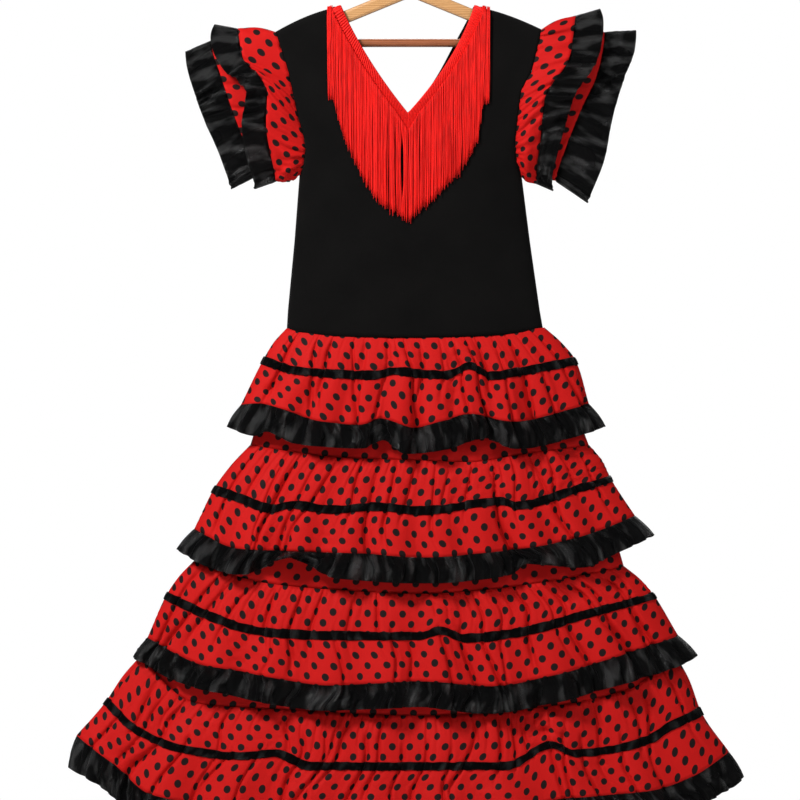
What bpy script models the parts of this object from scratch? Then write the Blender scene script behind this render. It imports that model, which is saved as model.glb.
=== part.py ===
"""A girl's flamenco dress on a hanger.

Black knit bodice with a V neck, braid and long fringe; double flounced
sleeves; a skirt of four gathered tiers, each with a ribbon and a satin
ruffle.  The dress hangs from a wooden hanger with a dowel bar and wire hook.

Frame: metres, +Z up, the front of the dress faces -Y, +X is the viewer's
right.  The origin is the inside top of the hook.  Tables are in millimetres.
"""
import math

import bmesh
import bpy
import numpy as np
from mathutils import Vector

MM = 0.001
GAP = 0.4            # clearance between sewn pieces
KNIT = 2.0           # wall of the bodice
CLOTH = 1.6          # wall of the dotted cloth and the satin
RIBBON = 1.2         # wall of the ribbons
BRAID_T = 3.0        # braid thickness
BRAID_W = 12.6       # braid width
FRINGE_T = 3.0       # depth of the hanging fringe
RIBBON_W = 8.0       # ribbon width
FOLD_R = 8.0         # radius of the cloth's turn over the hanger

# ---------------------------------------------------------------- tables
# bodice outline: z, left x, right x, half depth at centre, half depth at edge
BODICE = (
    (-110, -163, 157, 8.4, 8.0),
    (-150, -163, 157, 11.3, 10.0),
    (-197, -148, 146, 15.0, 13.2),
    (-222, -143, 133, 17.0, 15.0),
    (-246, -138, 130, 18.0, 14.5),
    (-286, -127, 126, 20.0, 10.5),
    (-307, -129, 128, 20.5, 6.5),
    (-323, -134, 133, 21.0, 0.0),
    (-402, -140, 143, 22.0, 0.0),
    (-486, -148, 155, 22.5, 0.0),
    (-520, -150, 161, 22.5, 0.0),
)
SHOULDER_Z = (-150.0, -147.0)      # left and right tips
NECK_L, NECK_R, APEX = (-84.0, -119.0), (76.0, -119.0), (-3.6, -248.0)
BOW = (6.0, 9.5)      # how far each side of the V bows out past straight, left and right
# share of the bodice's height at each row; rows 0 to ARM_ROW edge the armhole
BODICE_ROWS = (0, 0.009, 0.024, 0.13, 0.25, 0.38, 0.482, 0.74, 1.0)
ARM_ROW = 6

# seams of the skirt: x, z from the left edge to the right
WAIST = ((-150, -509), (-76, -517), (11, -518), (88, -516), (161, -508))
SEAM2 = ((-194, -650), (-79, -665), (11, -668), (71, -670), (126, -662), (215, -650))
SEAM3 = ((-262, -790), (-177, -815), (-97, -823), (11, -828), (82, -824), (162, -814), (257, -796))
SEAM4 = ((-322, -934), (-292, -947), (-252, -961), (-150, -967), (11, -974), (185, -961), (284, -938), (314, -931))

# each tier: its seam, the x of both edges at its belly, then x, z along the
# ribbon's middle, the tier's lower edge and the ruffle's lower edge
TIERS = {
    1: dict(
        seam=WAIST, belly=(-174, 192),
        ribbon=((-178, -546), (-137, -559), (-46, -564), (-19, -559), (42, -564),
                (71, -553), (96, -565), (130, -560), (199, -547)),
        edge=((-205, -600), (-184, -598), (-107, -620), (-61, -624), (-38, -616),
              (4, -628), (37, -619), (71, -611), (124, -620), (188, -606), (214, -598)),
        ruffle=((-222, -626), (-191, -638), (-175, -632), (-145, -646), (-61, -652),
                (-35, -642), (-7, -659), (42, -654), (91, -640), (127, -653),
                (211, -635), (235, -626)),
    ),
    2: dict(
        seam=SEAM2, belly=(-218, 232),
        ribbon=((-238, -702), (-203, -713), (-167, -725), (-144, -720), (-94, -726),
                (-41, -722), (11, -727), (110, -715), (126, -721), (196, -702), (241, -689)),
        edge=((-260, -749), (-212, -772), (-155, -775), (-60, -778), (11, -783),
              (86, -778), (166, -767), (226, -751), (269, -733)),
        ruffle=((-283, -774), (-247, -794), (-203, -804), (-144, -783), (-117, -794),
                (-89, -808), (11, -814), (122, -803), (136, -790), (205, -796),
                (256, -775), (294, -757)),
    ),
    3: dict(
        seam=SEAM3, belly=(-281, 275),
        ribbon=((-295, -830), (-234, -857), (-188, -871), (-120, -876), (11, -877),
                (35, -870), (65, -880), (139, -871), (200, -854), (293, -830)),
        edge=((-317, -880), (-251, -912), (-211, -918), (-97, -936), (11, -931),
              (94, -937), (176, -923), (248, -902), (322, -878)),
        ruffle=((-334, -904), (-281, -932), (-221, -947), (-101, -966), (11, -962),
                (89, -970), (152, -961), (259, -934), (317, -917), (346, -902)),
    ),
    4: dict(
        seam=SEAM4, belly=(-365, 347),
        ribbon=((-368, -958), (-331, -991), (-277, -1012), (-206, -1021), (-164, -1017),
                (-121, -1033), (114, -1033), (168, -1007), (197, -1018), (284, -1003),
                (312, -986), (350, -970)),
        edge=((-402, -998), (-354, -1034), (-314, -1067), (-253, -1078), (11, -1086),
              (107, -1084), (185, -1072), (293, -1062), (341, -1046), (383, -1018)),
        ruffle=((-413, -1036), (-373, -1057), (-314, -1099), (-206, -1114), (-97, -1120),
                (11, -1117), (114, -1120), (185, -1105), (293, -1094), (371, -1070), (401, -1048)),
    ),
}
# half depth of the skirt: seam above, belly, ribbon, lower edge, ruffle's edge
DEPTH = {1: (22, 29, 35, 41, 48), 2: (31, 38, 44, 51, 58), 3: (38, 45, 51, 58, 65), 4: (44, 51, 57, 64, 72)}
# folds of the tiers: place across the width (-1 left, 1 right), then the depth
# of each tier's crest there and of the trough to its right
FOLDS = (
    # place, tier 1, tier 2, tier 3, tier 4
    (-0.94, (2.0, 2.5), (2.5, 3.0), (3.0, 3.0), (3.5, 3.5)),
    (-0.75, (3.5, 4.0), (5.0, 4.5), (4.5, 4.0), (6.0, 5.0)),
    (-0.54, (4.5, 3.5), (6.0, 3.5), (5.5, 4.5), (5.0, 4.5)),
    (-0.31, (3.5, 4.5), (4.0, 5.0), (4.5, 3.5), (6.5, 4.0)),
    (-0.09, (5.0, 4.0), (5.0, 3.5), (5.0, 5.0), (4.5, 5.0)),
    (0.12, (4.5, 4.5), (4.5, 4.0), (6.0, 4.0), (6.0, 4.5)),
    (0.33, (3.5, 3.0), (4.0, 3.5), (4.5, 4.5), (5.0, 5.5)),
    (0.54, (5.5, 4.5), (6.5, 5.5), (5.5, 4.0), (7.0, 5.0)),
    (0.75, (4.0, 2.5), (5.0, 3.0), (5.0, 3.0), (6.0, 4.0)),
    (0.93, (2.5, 0.0), (2.5, 0.0), (3.0, 0.0), (3.5, 0.0)),
)
FOLD_GROWTH = (0.0, 0.25, 0.55, 1.0, 1.5)   # share of a fold's depth down a tier
# sleeve rings from the shoulder round the front to the underarm:
# x, z, half depth at the lower edge of each flounce and ruffle
# fringe: share of the way along the braid's outer edge, and its length there
FRINGE = {
    "left": ((-0.2, 104), (0, 110), (0.21, 129), (0.6, 137), (0.85, 121), (1, 109)),
    "right": ((-0.2, 102), (0, 120), (0.12, 142), (0.32, 139), (0.57, 130), (0.82, 119), (1, 109)),
}
SLEEVES = {
    "left": dict(
        upper=((-209, -146, 0), (-208, -150, 9), (-207, -158, 13), (-204, -181, 20),
               (-176, -215, 24), (-175, -265, 20), (-161, -329, 0)),
        upper_ruffle=((-236, -140, 0), (-243, -150, 12), (-243, -165, 18), (-226, -197, 26),
                      (-200, -220, 30), (-205, -265, 27), (-186, -338, 0)),
        lower=((-241, -160, 0), (-241, -165, 6), (-240, -172, 9), (-231, -200, 14),
               (-215, -246, 17), (-202, -280, 13), (-184, -322, 0)),
        lower_ruffle=((-272, -174, 0), (-272, -179, 7), (-271, -190, 11), (-262, -223, 17),
                      (-250, -255, 19), (-232, -295, 16), (-216, -338, 0)),
    ),
    "right": dict(
        upper=((201, -130, 0), (199, -136, 9), (197, -150, 13), (190, -188, 20),
               (165, -222, 24), (156, -275, 20), (149, -331, 0)),
        upper_ruffle=((229, -121, 0), (233, -132, 12), (233, -150, 18), (224, -190, 26),
                      (200, -225, 30), (184, -268, 27), (167, -339, 0)),
        lower=((234, -150, 0), (234, -155, 6), (233, -165, 9), (224, -205, 14),
               (205, -245, 17), (188, -285, 13), (172, -328, 0)),
        lower_ruffle=((272, -148, 0), (272, -154, 7), (270, -172, 11), (256, -210, 17),
                      (242, -260, 19), (234, -305, 16), (213, -355, 0)),
    ),
}
# hanger
ARM_T, ARM_H = 12.0, 16.2      # arm's depth, and its height measured plumb
CROWN_Z, ARM_SLOPE = -91.4, 0.41
ARM_END = 155.0
BAR_R, BAR_Z, BAR_HALF = 5.0, -163.0, 121.0
WIRE_R, HOOK_R = 1.9, 20.0

COLOURS = {          # base colour (linear), roughness, metallic
    "dotted": ((0.60, 0.010, 0.010, 1), 0.85, 0.0),
    "satin": ((0.006, 0.006, 0.007, 1), 0.38, 0.0),
    "knit": ((0.008, 0.008, 0.008, 1), 0.95, 0.0),
    "fringe": ((0.75, 0.014, 0.012, 1), 0.6, 0.0),
    "wood": ((0.60, 0.32, 0.12, 1), 0.45, 0.0),
    "bar": ((0.30, 0.095, 0.04, 1), 0.4, 0.0),
    "steel": ((0.6, 0.6, 0.6, 1), 0.25, 1.0),
}

# ---------------------------------------------------------------- helpers
for old in list(bpy.data.objects):
    bpy.data.objects.remove(old, do_unlink=True)


def along(table, x, col=1):
    return float(np.interp(x, [r[0] for r in table], [r[col] for r in table]))


def down(table, z, col):
    return float(np.interp(-z, [-r[0] for r in table], [r[col] for r in table]))


def node(name, look, verts, faces, smooth=True):
    mesh = bpy.data.meshes.new(name)
    mesh.from_pydata([Vector(v) * MM for v in verts], [], faces)
    bm = bmesh.new()
    bm.from_mesh(mesh)
    bmesh.ops.triangulate(bm, faces=bm.faces)
    bmesh.ops.recalc_face_normals(bm, faces=bm.faces)
    if bm.calc_volume(signed=True) < 0:
        bmesh.ops.reverse_faces(bm, faces=bm.faces)
    bm.to_mesh(mesh)
    bm.free()
    if smooth:
        mesh.shade_smooth()
        mesh.set_sharp_from_angle(angle=math.radians(50))
    colour, rough, metal = COLOURS[look]
    mat = bpy.data.materials.new(name)
    mat.use_nodes = True
    bsdf = mat.node_tree.nodes["Principled BSDF"]
    bsdf.inputs["Base Color"].default_value = colour
    bsdf.inputs["Roughness"].default_value = rough
    bsdf.inputs["Metallic"].default_value = metal
    mesh.materials.append(mat)
    ob = bpy.data.objects.new(name, mesh)
    bpy.context.scene.collection.objects.link(ob)
    return ob


def wall(name, look, mid, normal, thick):
    """A closed wall on a grid of middle points, half its thickness each way."""
    rows, cols = mid.shape[:2]
    outer = (mid + normal * thick / 2).reshape(-1, 3)
    inner = (mid - normal * thick / 2).reshape(-1, 3)
    n = rows * cols
    faces = []
    for r in range(rows - 1):
        for c in range(cols - 1):
            a, b = r * cols + c, r * cols + c + 1
            d, e = a + cols, b + cols
            faces += [(a, d, e), (a, e, b), (n + a, n + e, n + d), (n + a, n + b, n + e)]
    for c in range(cols - 1):
        a, b = c, c + 1
        d, e = (rows - 1) * cols + c, (rows - 1) * cols + c + 1
        faces += [(a, b, n + b), (a, n + b, n + a), (d, n + e, e), (d, n + d, n + e)]
    for r in range(rows - 1):
        a, b = r * cols, (r + 1) * cols
        d, e = a + cols - 1, b + cols - 1
        faces += [(a, n + b, b), (a, n + a, n + b), (d, e, n + e), (d, n + e, n + d)]
    return node(name, look, np.vstack([outer, inner]).tolist(), faces)


def tube(name, look, mid, normal, thick):
    """A closed wall on rings that go all the way round."""
    rows, cols = mid.shape[:2]
    outer = (mid + normal * thick / 2).reshape(-1, 3)
    inner = (mid - normal * thick / 2).reshape(-1, 3)
    n = rows * cols
    faces = []
    for c in range(cols):
        c2 = (c + 1) % cols
        for r in range(rows - 1):
            a, b = r * cols + c, r * cols + c2
            d, e = a + cols, b + cols
            faces += [(a, d, e), (a, e, b), (n + a, n + e, n + d), (n + a, n + b, n + e)]
        top, low = (c, c2), ((rows - 1) * cols + c, (rows - 1) * cols + c2)
        faces += [(top[0], top[1], n + top[1]), (top[0], n + top[1], n + top[0])]
        faces += [(low[0], n + low[1], low[1]), (low[0], n + low[0], n + low[1])]
    return node(name, look, np.vstack([outer, inner]).tolist(), faces)


def grid_normals(mid):
    du = np.gradient(mid, axis=1)
    dv = np.gradient(mid, axis=0)
    n = np.cross(du, dv)
    n /= np.linalg.norm(n, axis=2, keepdims=True)
    return n


def row_normals(mid, side):
    """Level normals of each row, mitred, turned outwards."""
    seg = np.diff(mid[:, :, :2], axis=1)
    out = np.stack([seg[..., 1], -seg[..., 0]], axis=-1)
    out /= np.linalg.norm(out, axis=2, keepdims=True)
    pad = np.concatenate([out[:, :1], out, out[:, -1:]], axis=1)
    mean = pad[:, :-1] + pad[:, 1:]
    mean /= np.linalg.norm(mean, axis=2, keepdims=True)
    cosine = (mean * pad[:, 1:]).sum(axis=2, keepdims=True)
    mean = mean / np.maximum(cosine, 0.8)
    normal = np.concatenate([mean, np.zeros(mean.shape[:2] + (1,))], axis=2)
    normal[:, 0] = (-1, 0, 0)
    normal[:, -1] = (1, 0, 0)
    return normal


def mirrored(points):
    return points * np.array([1.0, -1.0, 1.0])


# ---------------------------------------------------------------- bodice
def shoulder_line(x):
    if x < APEX[0]:
        (x0, z0), (x1, z1) = (-163.0, SHOULDER_Z[0]), NECK_L
    else:
        (x0, z0), (x1, z1) = (157.0, SHOULDER_Z[1]), NECK_R
    return z0 + (z1 - z0) * (x - x0) / (x1 - x0)


def bodice_x(s, z):
    left, right = down(BODICE, z, 1), down(BODICE, z, 2)
    return left + (right - left) * (s + 1) / 2


def bodice_depth(s, z, x):
    """Half depth at a place on the bodice, turned in over the shoulder."""
    edge, centre = down(BODICE, z, 4), down(BODICE, z, 3)
    depth = edge + max(centre - edge, 0) * math.sqrt(max(1 - s * s, 0))
    h = min(max((shoulder_line(x) - z) / FOLD_R, 0), 1)
    return depth * math.sqrt(h * (2 - h))


def neck_z(s):
    """Where a column of the bodice meets the V."""
    low, high = APEX[1], NECK_L[1]
    for _ in range(40):
        z = (low + high) / 2
        x = bodice_x(s, z)
        side = NECK_L if x < APEX[0] else NECK_R
        line = APEX[1] + (side[1] - APEX[1]) * (x - APEX[0]) / (side[0] - APEX[0])
        low, high = (low, z) if z > line else (z, high)
    return z


S_NECK_L = 2 * (NECK_L[0] + 163) / 320 - 1
S_NECK_R = 2 * (NECK_R[0] + 163) / 320 - 1
S_BODICE = sorted([-1, -0.91, -0.78, -0.64, S_NECK_L, S_NECK_L + 0.012, -0.32, -0.15, 0.0,
                   0.15, 0.32, S_NECK_R - 0.012, S_NECK_R, 0.64, 0.78, 0.91, 1])


def bow(x, z):
    """How far a place near the V is carried out with its bowed edge."""
    q = min(max((z - APEX[1]) / (NECK_L[1] - APEX[1]), 0), 1)
    side, b = (NECK_L, -BOW[0]) if x < APEX[0] else (NECK_R, BOW[1])
    line = APEX[0] + (side[0] - APEX[0]) * q
    return b * 4 * q * (1 - q) * math.exp(-((x - line) / 45) ** 2)


def before_bow(x, z):
    u = x
    for _ in range(6):
        u = x - bow(u, z)
    return u


def bodice_mid():
    rows, cols = len(BODICE_ROWS), len(S_BODICE)
    mid = np.zeros((rows, cols, 3))
    for c, s in enumerate(S_BODICE):
        x_top = bodice_x(s, -130)
        top = shoulder_line(x_top) if s <= S_NECK_L or s >= S_NECK_R else neck_z(s)
        foot = along(WAIST, bodice_x(s, -512))
        for r, share in enumerate(BODICE_ROWS):
            z = top + (foot - top) * share
            x = bodice_x(s, z)
            mid[r, c] = (x + bow(x, z), -bodice_depth(s, z, x) - 0.2, z)
    return mid


def ring_normals(ring):
    """Normals of a closed ring in the Y-Z plane, turned outwards."""
    t = np.roll(ring, -1, axis=0) - np.roll(ring, 1, axis=0)
    n = np.stack([np.zeros(len(t)), -t[:, 2], t[:, 1]], axis=1)
    n /= np.linalg.norm(n, axis=1, keepdims=True)
    away = ring - ring.mean(axis=0)
    if (n * away).sum() < 0:
        n = -n
    return n


front = bodice_mid()
cols = front.shape[1]
normal = grid_normals(front)
if normal[4, cols // 2, 1] > 0:
    normal = -normal
for c, s in enumerate(S_BODICE):
    if s <= S_NECK_L or s >= S_NECK_R:
        slope = np.array([0.39 if s < 0 else -0.36, 0, -1.0])
        normal[0, c] = -slope / np.linalg.norm(slope) * np.array([1, 0, 1])
normal[0, :, 1] = np.where([s <= S_NECK_L or s >= S_NECK_R for s in S_BODICE], 0, normal[0, :, 1])


def armhole(edge, inset=0.0):
    """The armhole's ring, from the shoulder down the front and up the back."""
    pts = front[: ARM_ROW + 1, edge].copy()
    pts[0, 1] = pts[-1, 1] = 0
    middle = (pts[0, 2] + pts[-1, 2]) / 2
    if inset:
        pts[:, 1] = np.minimum(pts[:, 1] + inset, 0)
        pts[:, 2] += np.where(pts[:, 2] > middle, -inset, inset) * np.array([1, 1, 0.5, 0, 0, 0.5, 1])
    return np.vstack([pts, mirrored(pts[1:-1])[::-1]])


for edge, sign in ((0, -1), (cols - 1, 1)):
    ring = ring_normals(armhole(edge))
    normal[:ARM_ROW, edge] = ring[:ARM_ROW]
    normal[ARM_ROW:, edge] = (sign, 0, 0)
normal /= np.linalg.norm(normal, axis=2, keepdims=True)
wall("bodice_front", "knit", front, normal, KNIT)
wall("bodice_back", "knit", mirrored(front), mirrored(normal), KNIT)

# ---------------------------------------------------------------- neck trim
def on_bodice(x, z, out):
    left, right = down(BODICE, z, 1), down(BODICE, z, 2)
    s = 2 * (x - left) / (right - left) - 1
    return (x + bow(x, z), -bodice_depth(s, z, x) - 0.2 - out, z)


def neck_frame(side):
    """Unit vector down the V and the one across it, away from the opening."""
    neck = np.array(NECK_L if side < 0 else NECK_R, float)
    apex = np.array(APEX)
    t = (apex - neck) / np.linalg.norm(apex - neck)
    out = np.array([t[1], -t[0]]) if side < 0 else np.array([-t[1], t[0]])
    return neck, apex, t, out


def apex_of(width):
    """The point below the apex where both sides' outer lines cross."""
    _, apex, t, out = neck_frame(-1)
    return np.array([APEX[0], APEX[1] - width / abs(out[1])])


BRAID_OUT = KNIT / 2 + 0.7 + BRAID_T / 2
lines = []
for width in (0.0, BRAID_W / 2, BRAID_W):
    points = []
    for side in (-1, 1):
        neck, apex, t, out = neck_frame(side)
        low = apex_of(width)
        start = neck + out * width
        while shoulder_line(start[0]) - start[1] < 3.0:
            start = start + t * 0.1
        turn = start
        while shoulder_line(turn[0]) - turn[1] < 1.2 * FOLD_R:
            turn = turn + t * 0.1
        run = [start] + [turn + (low - turn) * k / 6 for k in range(7)]
        points.append(run)
    line = points[0] + points[1][-2::-1]
    lines.append([on_bodice(x, z, BRAID_OUT) for x, z in line])
braid = np.array(lines)
flat = np.zeros_like(braid)
flat[:, :, 1] = -1
wall("neck_braid", "fringe", braid, flat, BRAID_T)

for side, name in ((-1, "fringe_left"), (1, "fringe_right")):
    neck, apex, t, out = neck_frame(side)
    top_out = neck + out * (BRAID_W + 0.6)
    low_out = apex_of(BRAID_W + 0.6)
    x_far, x_near = (-101.0, APEX[0] - 0.3) if side < 0 else (95.0, APEX[0] + 0.3)
    grid = []
    for v in (0.0, 0.2, 0.4, 0.6, 0.8, 1.0):
        row = []
        for k in range(8):
            x = x_far + (x_near - x_far) * k / 7
            u = x
            for _ in range(6):
                share = (u - top_out[0]) / (low_out[0] - top_out[0])
                top = min(top_out[1] + (low_out[1] - top_out[1]) * share, shoulder_line(u) - 5.0)
                u = x - bow(u, top)
            z = top - v * along(FRINGE[name[7:]], share)
            row.append(on_bodice(before_bow(x, z), z, KNIT / 2 + 1.4 + FRINGE_T / 2))
        grid.append(row if side < 0 else row[::-1])
    grid = np.array(grid)
    flat = np.zeros_like(grid)
    flat[:, :, 1] = -1
    wall(name, "fringe", grid, flat, FRINGE_T)

# ---------------------------------------------------------------- sleeves
for side, edge, sign in (("left", 0, -1), ("right", cols - 1, 1)):
    rings = {k: np.array(v, float) for k, v in SLEEVES[side].items()}
    for layer, inset in (("upper", 0.0), ("lower", 2.6)):
        start = armhole(edge, inset)
        ease = np.array([GAP + 0.1] * 5 + [1.0, 1.8] + [1.0] + [GAP + 0.1] * 4)
        start[:, 0] += sign * ease
        start[ARM_ROW, 2] += 1.8
        loops = [start]
        for part in (layer, layer + "_ruffle"):
            tab = rings[part]
            pts = np.stack([tab[:, 0], -tab[:, 2], tab[:, 1]], axis=1)
            loops.append(np.vstack([pts, mirrored(pts[1:-1])[::-1]]))
        loops = np.array(loops)
        normals = np.array([ring_normals(ring) for ring in loops])
        tube(f"sleeve_{side}_{layer}", "dotted", loops[:2], normals[:2], CLOTH)
        ruffle = loops[1:].copy()
        ruffle[0, :, 0] += sign * GAP
        normals = normals[1:].copy()
        tube(f"sleeve_{side}_{layer}_ruffle", "satin", ruffle, normals, CLOTH)

# ---------------------------------------------------------------- skirt
def columns(k):
    """Columns of a tier: its edges, each fold's crest and the trough beside it."""
    s, f = [-1.0], [0.0]
    for here, nxt in zip(FOLDS, FOLDS[1:] + (None,)):
        s.append(here[0])
        f.append(here[k][0])
        if nxt:
            s.append((here[0] + nxt[0]) / 2)
            f.append(-here[k][1])
    return np.array(s + [1.0]), np.array(f + [0.0])


def row(s, fold, table, depth, growth, ends=None, drop=0.0, side=1):
    x0, x1 = (table[0][0], table[-1][0]) if ends is None else ends
    out = []
    for a, f in zip(s, fold):
        x = x0 + (x1 - x0) * (a + 1) / 2
        xt = table[0][0] + (table[-1][0] - table[0][0]) * (a + 1) / 2
        round_off = math.sqrt(max(1 - a * a, 0))
        y = depth * round_off + f * growth * min(1.0, 1.6 * round_off)
        out.append((x, -side * (y + 0.2), along(table, xt) - drop))
    return np.array(out)


S_BASE, _ = columns(3)
GORE = 0.72              # where the base's side gores begin, as a share of the half width
LAYER = CLOTH + 0.5      # step out from the cloth beneath, middle to middle
BASES = {1: (WAIST, SEAM2), 2: (SEAM2, SEAM3), 3: (SEAM3, SEAM4)}
for side, face in ((1, "front"), (-1, "back")):
    turn = (lambda m: m) if side == 1 else mirrored
    for k, (top, low) in BASES.items():
        zero = np.zeros_like(S_BASE)
        cols_s = S_BASE if side == 1 else -S_BASE[::-1]
        d_top, d_low = DEPTH[k][0], DEPTH[k + 1][0]
        grid = np.array([
            row(cols_s, zero, top, d_top, 0, drop=GAP),
            row(cols_s, zero, low, d_low, 0),
        ])
        normals = row_normals(grid, 1)
        if k == 1:
            wall(f"base{k}_{face}", "dotted", turn(grid), turn(normals), CLOTH)
            continue
        # the two wider bases are a centre panel and a gore at each side
        c0, c1 = (int(np.argmin(np.abs(cols_s - at))) for at in (-GORE, GORE))
        left, right = grid[:, :c0 + 1].copy(), grid[:, c1:].copy()
        for panel, at, to in ((left, -1, -2), (right, 0, 1)):
            way = panel[:, to] - panel[:, at]
            panel[:, at] += way / np.linalg.norm(way, axis=1)[:, None] * (GAP + 0.1)
        for name, panel, n in ((f"base{k}_{face}", grid[:, c0:c1 + 1], normals[:, c0:c1 + 1]),
                               (f"base{k}_{face}_left", left, normals[:, :c0 + 1]),
                               (f"base{k}_{face}_right", right, normals[:, c1:])):
            wall(name, "dotted", turn(panel), turn(n), CLOTH)
    for k, tier in TIERS.items():
        s, fold = columns(k)
        if side == -1:
            s, fold = -s[::-1], fold[::-1]
        top = row(s, fold, tier["seam"], DEPTH[k][0], FOLD_GROWTH[0], drop=GAP)
        if k < 4:
            top = top + row_normals(top[None], 1)[0] * LAYER
        rib = [row(s, fold, tier["ribbon"], DEPTH[k][2] + d, FOLD_GROWTH[2], drop=e)
               for d, e in ((-0.5, -RIBBON_W / 2), (0.5, RIBBON_W / 2))]
        belly = row(s, fold, tier["seam"], DEPTH[k][1], FOLD_GROWTH[1], ends=tier["belly"])
        belly[:, 2] = top[:, 2] * 0.6 + rib[0][:, 2] * 0.4
        low = row(s, fold, tier["edge"], DEPTH[k][3], FOLD_GROWTH[3])
        grid = np.array([top, belly, rib[0], rib[1], low])
        normals = row_normals(grid, 1)
        wall(f"tier{k}_{face}", "dotted", turn(grid), turn(normals), CLOTH)
        step = CLOTH / 2 + GAP + RIBBON / 2
        band = grid[2:4] + normals[2:4] * step
        wall(f"ribbon{k}_{face}", "satin", turn(band), turn(normals[2:4]), RIBBON)
        hem = row(s, fold, tier["ruffle"], DEPTH[k][4], FOLD_GROWTH[4])
        head = low - np.array([0, 0, GAP])
        grid = np.array([head, hem])
        wall(f"hem{k}_{face}", "satin", turn(grid), turn(row_normals(grid, 1)), CLOTH)

# ---------------------------------------------------------------- hanger
def sweep(points, radius, sides=10):
    """Rings of a round wire along a smooth path in the X-Z plane."""
    pts = np.array(points, float)
    verts, faces = [], []
    t = np.gradient(pts, axis=0)
    for i, p in enumerate(pts):
        u = t[i] / np.linalg.norm(t[i])
        across = np.array([u[2], 0, -u[0]])
        for j in range(sides):
            a = 2 * math.pi * j / sides
            verts.append(p + radius * (across * math.cos(a) + np.array([0, 1, 0]) * math.sin(a)))
    for i in range(len(pts) - 1):
        for j in range(sides):
            j2 = (j + 1) % sides
            faces.append((i * sides + j, i * sides + j2, (i + 1) * sides + j2, (i + 1) * sides + j))
    faces.append(tuple(range(sides)))
    faces.append(tuple(range((len(pts) - 1) * sides, len(pts) * sides)))
    return verts, faces


def arm_outline():
    """The arms' outline: a shallow roof with an end lobe that takes the bar."""
    tip = CROWN_Z - ARM_SLOPE * ARM_END
    foot = BAR_Z - 11
    return [
        (0.0, CROWN_Z), (-8.0, CROWN_Z - 8.0 * ARM_SLOPE), (-ARM_END + 5, tip + 2.0), (-ARM_END, tip - 4),
        (-ARM_END, foot + 6), (-ARM_END + 5, foot), (-BAR_HALF - 4, foot), (-BAR_HALF, foot + 4),
        (-BAR_HALF, CROWN_Z - ARM_SLOPE * BAR_HALF - ARM_H), (0.0, CROWN_Z - ARM_H),
    ]


half = arm_outline()
right = [(-x, z) for x, z in half[1:-1]][::-1]
profile = half + right
bm = bmesh.new()
low_face = bm.faces.new([bm.verts.new((x * MM, ARM_T / 2 * MM, z * MM)) for x, z in profile])
made = bmesh.ops.extrude_face_region(bm, geom=[low_face])
bmesh.ops.translate(bm, vec=(0, -ARM_T * MM, 0), verts=[v for v in made["geom"] if isinstance(v, bmesh.types.BMVert)])
bmesh.ops.recalc_face_normals(bm, faces=bm.faces)
ring = [e for e in bm.edges if abs(e.verts[0].co.y - e.verts[1].co.y) < 1e-6]
bmesh.ops.bevel(bm, geom=ring, offset=3.2 * MM, segments=2, profile=0.5, affect="EDGES")
verts = [tuple(v.co / MM) for v in bm.verts]
bm.verts.index_update()
faces = [tuple(v.index for v in f.verts) for f in bm.faces]
bm.free()
node("hanger_arms", "wood", verts, faces)

bar = [(x, 0.0, BAR_Z) for x in np.linspace(-BAR_HALF + 0.4, BAR_HALF - 0.4, 9)]
node("hanger_bar", "bar", *sweep(bar, BAR_R, 12))

mid_r = HOOK_R + WIRE_R
knots = [(0, 0, CROWN_Z + 0.4), (0, 0, -70), (0, 0, -56), (3.5, 0, -47)]
for deg in range(-50, 206, 15):
    a = math.radians(deg)
    knots.append((mid_r * math.cos(a), 0, -HOOK_R + mid_r * math.sin(a)))
knots = [Vector(k) for k in knots]
path = []
for i in range(len(knots) - 1):
    p0, p1 = knots[max(i - 1, 0)], knots[i]
    p2, p3 = knots[i + 1], knots[min(i + 2, len(knots) - 1)]
    for step in range(2):
        u = step / 2
        path.append(0.5 * (2 * p1 + (p2 - p0) * u + (2 * p0 - 5 * p1 + 4 * p2 - p3) * u * u
                           + (3 * p1 - p0 - 3 * p2 + p3) * u ** 3))
path.append(knots[-1])
node("hanger_hook", "steel", *sweep([tuple(p) for p in path], WIRE_R, 10))
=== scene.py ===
"""Looks for the flamenco dress on a hanger: cloth with its gathers, ruffles, ribbons, fringe, braid and hanger.

All shape tables are in millimetres, in the CAD model's frame.
"""
import math
import bpy
import numpy as np
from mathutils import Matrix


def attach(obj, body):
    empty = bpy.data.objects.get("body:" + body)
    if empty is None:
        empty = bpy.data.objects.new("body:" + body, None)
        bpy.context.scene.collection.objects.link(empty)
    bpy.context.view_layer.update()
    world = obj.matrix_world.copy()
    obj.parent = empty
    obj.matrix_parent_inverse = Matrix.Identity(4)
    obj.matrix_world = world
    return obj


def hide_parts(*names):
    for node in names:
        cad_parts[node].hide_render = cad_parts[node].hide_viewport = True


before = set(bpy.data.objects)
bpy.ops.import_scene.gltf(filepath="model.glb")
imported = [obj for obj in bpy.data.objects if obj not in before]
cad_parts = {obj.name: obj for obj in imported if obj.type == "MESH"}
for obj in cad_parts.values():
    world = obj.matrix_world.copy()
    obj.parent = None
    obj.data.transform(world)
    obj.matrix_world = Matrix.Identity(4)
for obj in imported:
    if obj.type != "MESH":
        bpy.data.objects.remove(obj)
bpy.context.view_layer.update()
MM = 0.001

BRAID_W = 12.6       # braid width
FOLD_R = 8.0         # radius of the cloth's turn over the hanger

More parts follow.
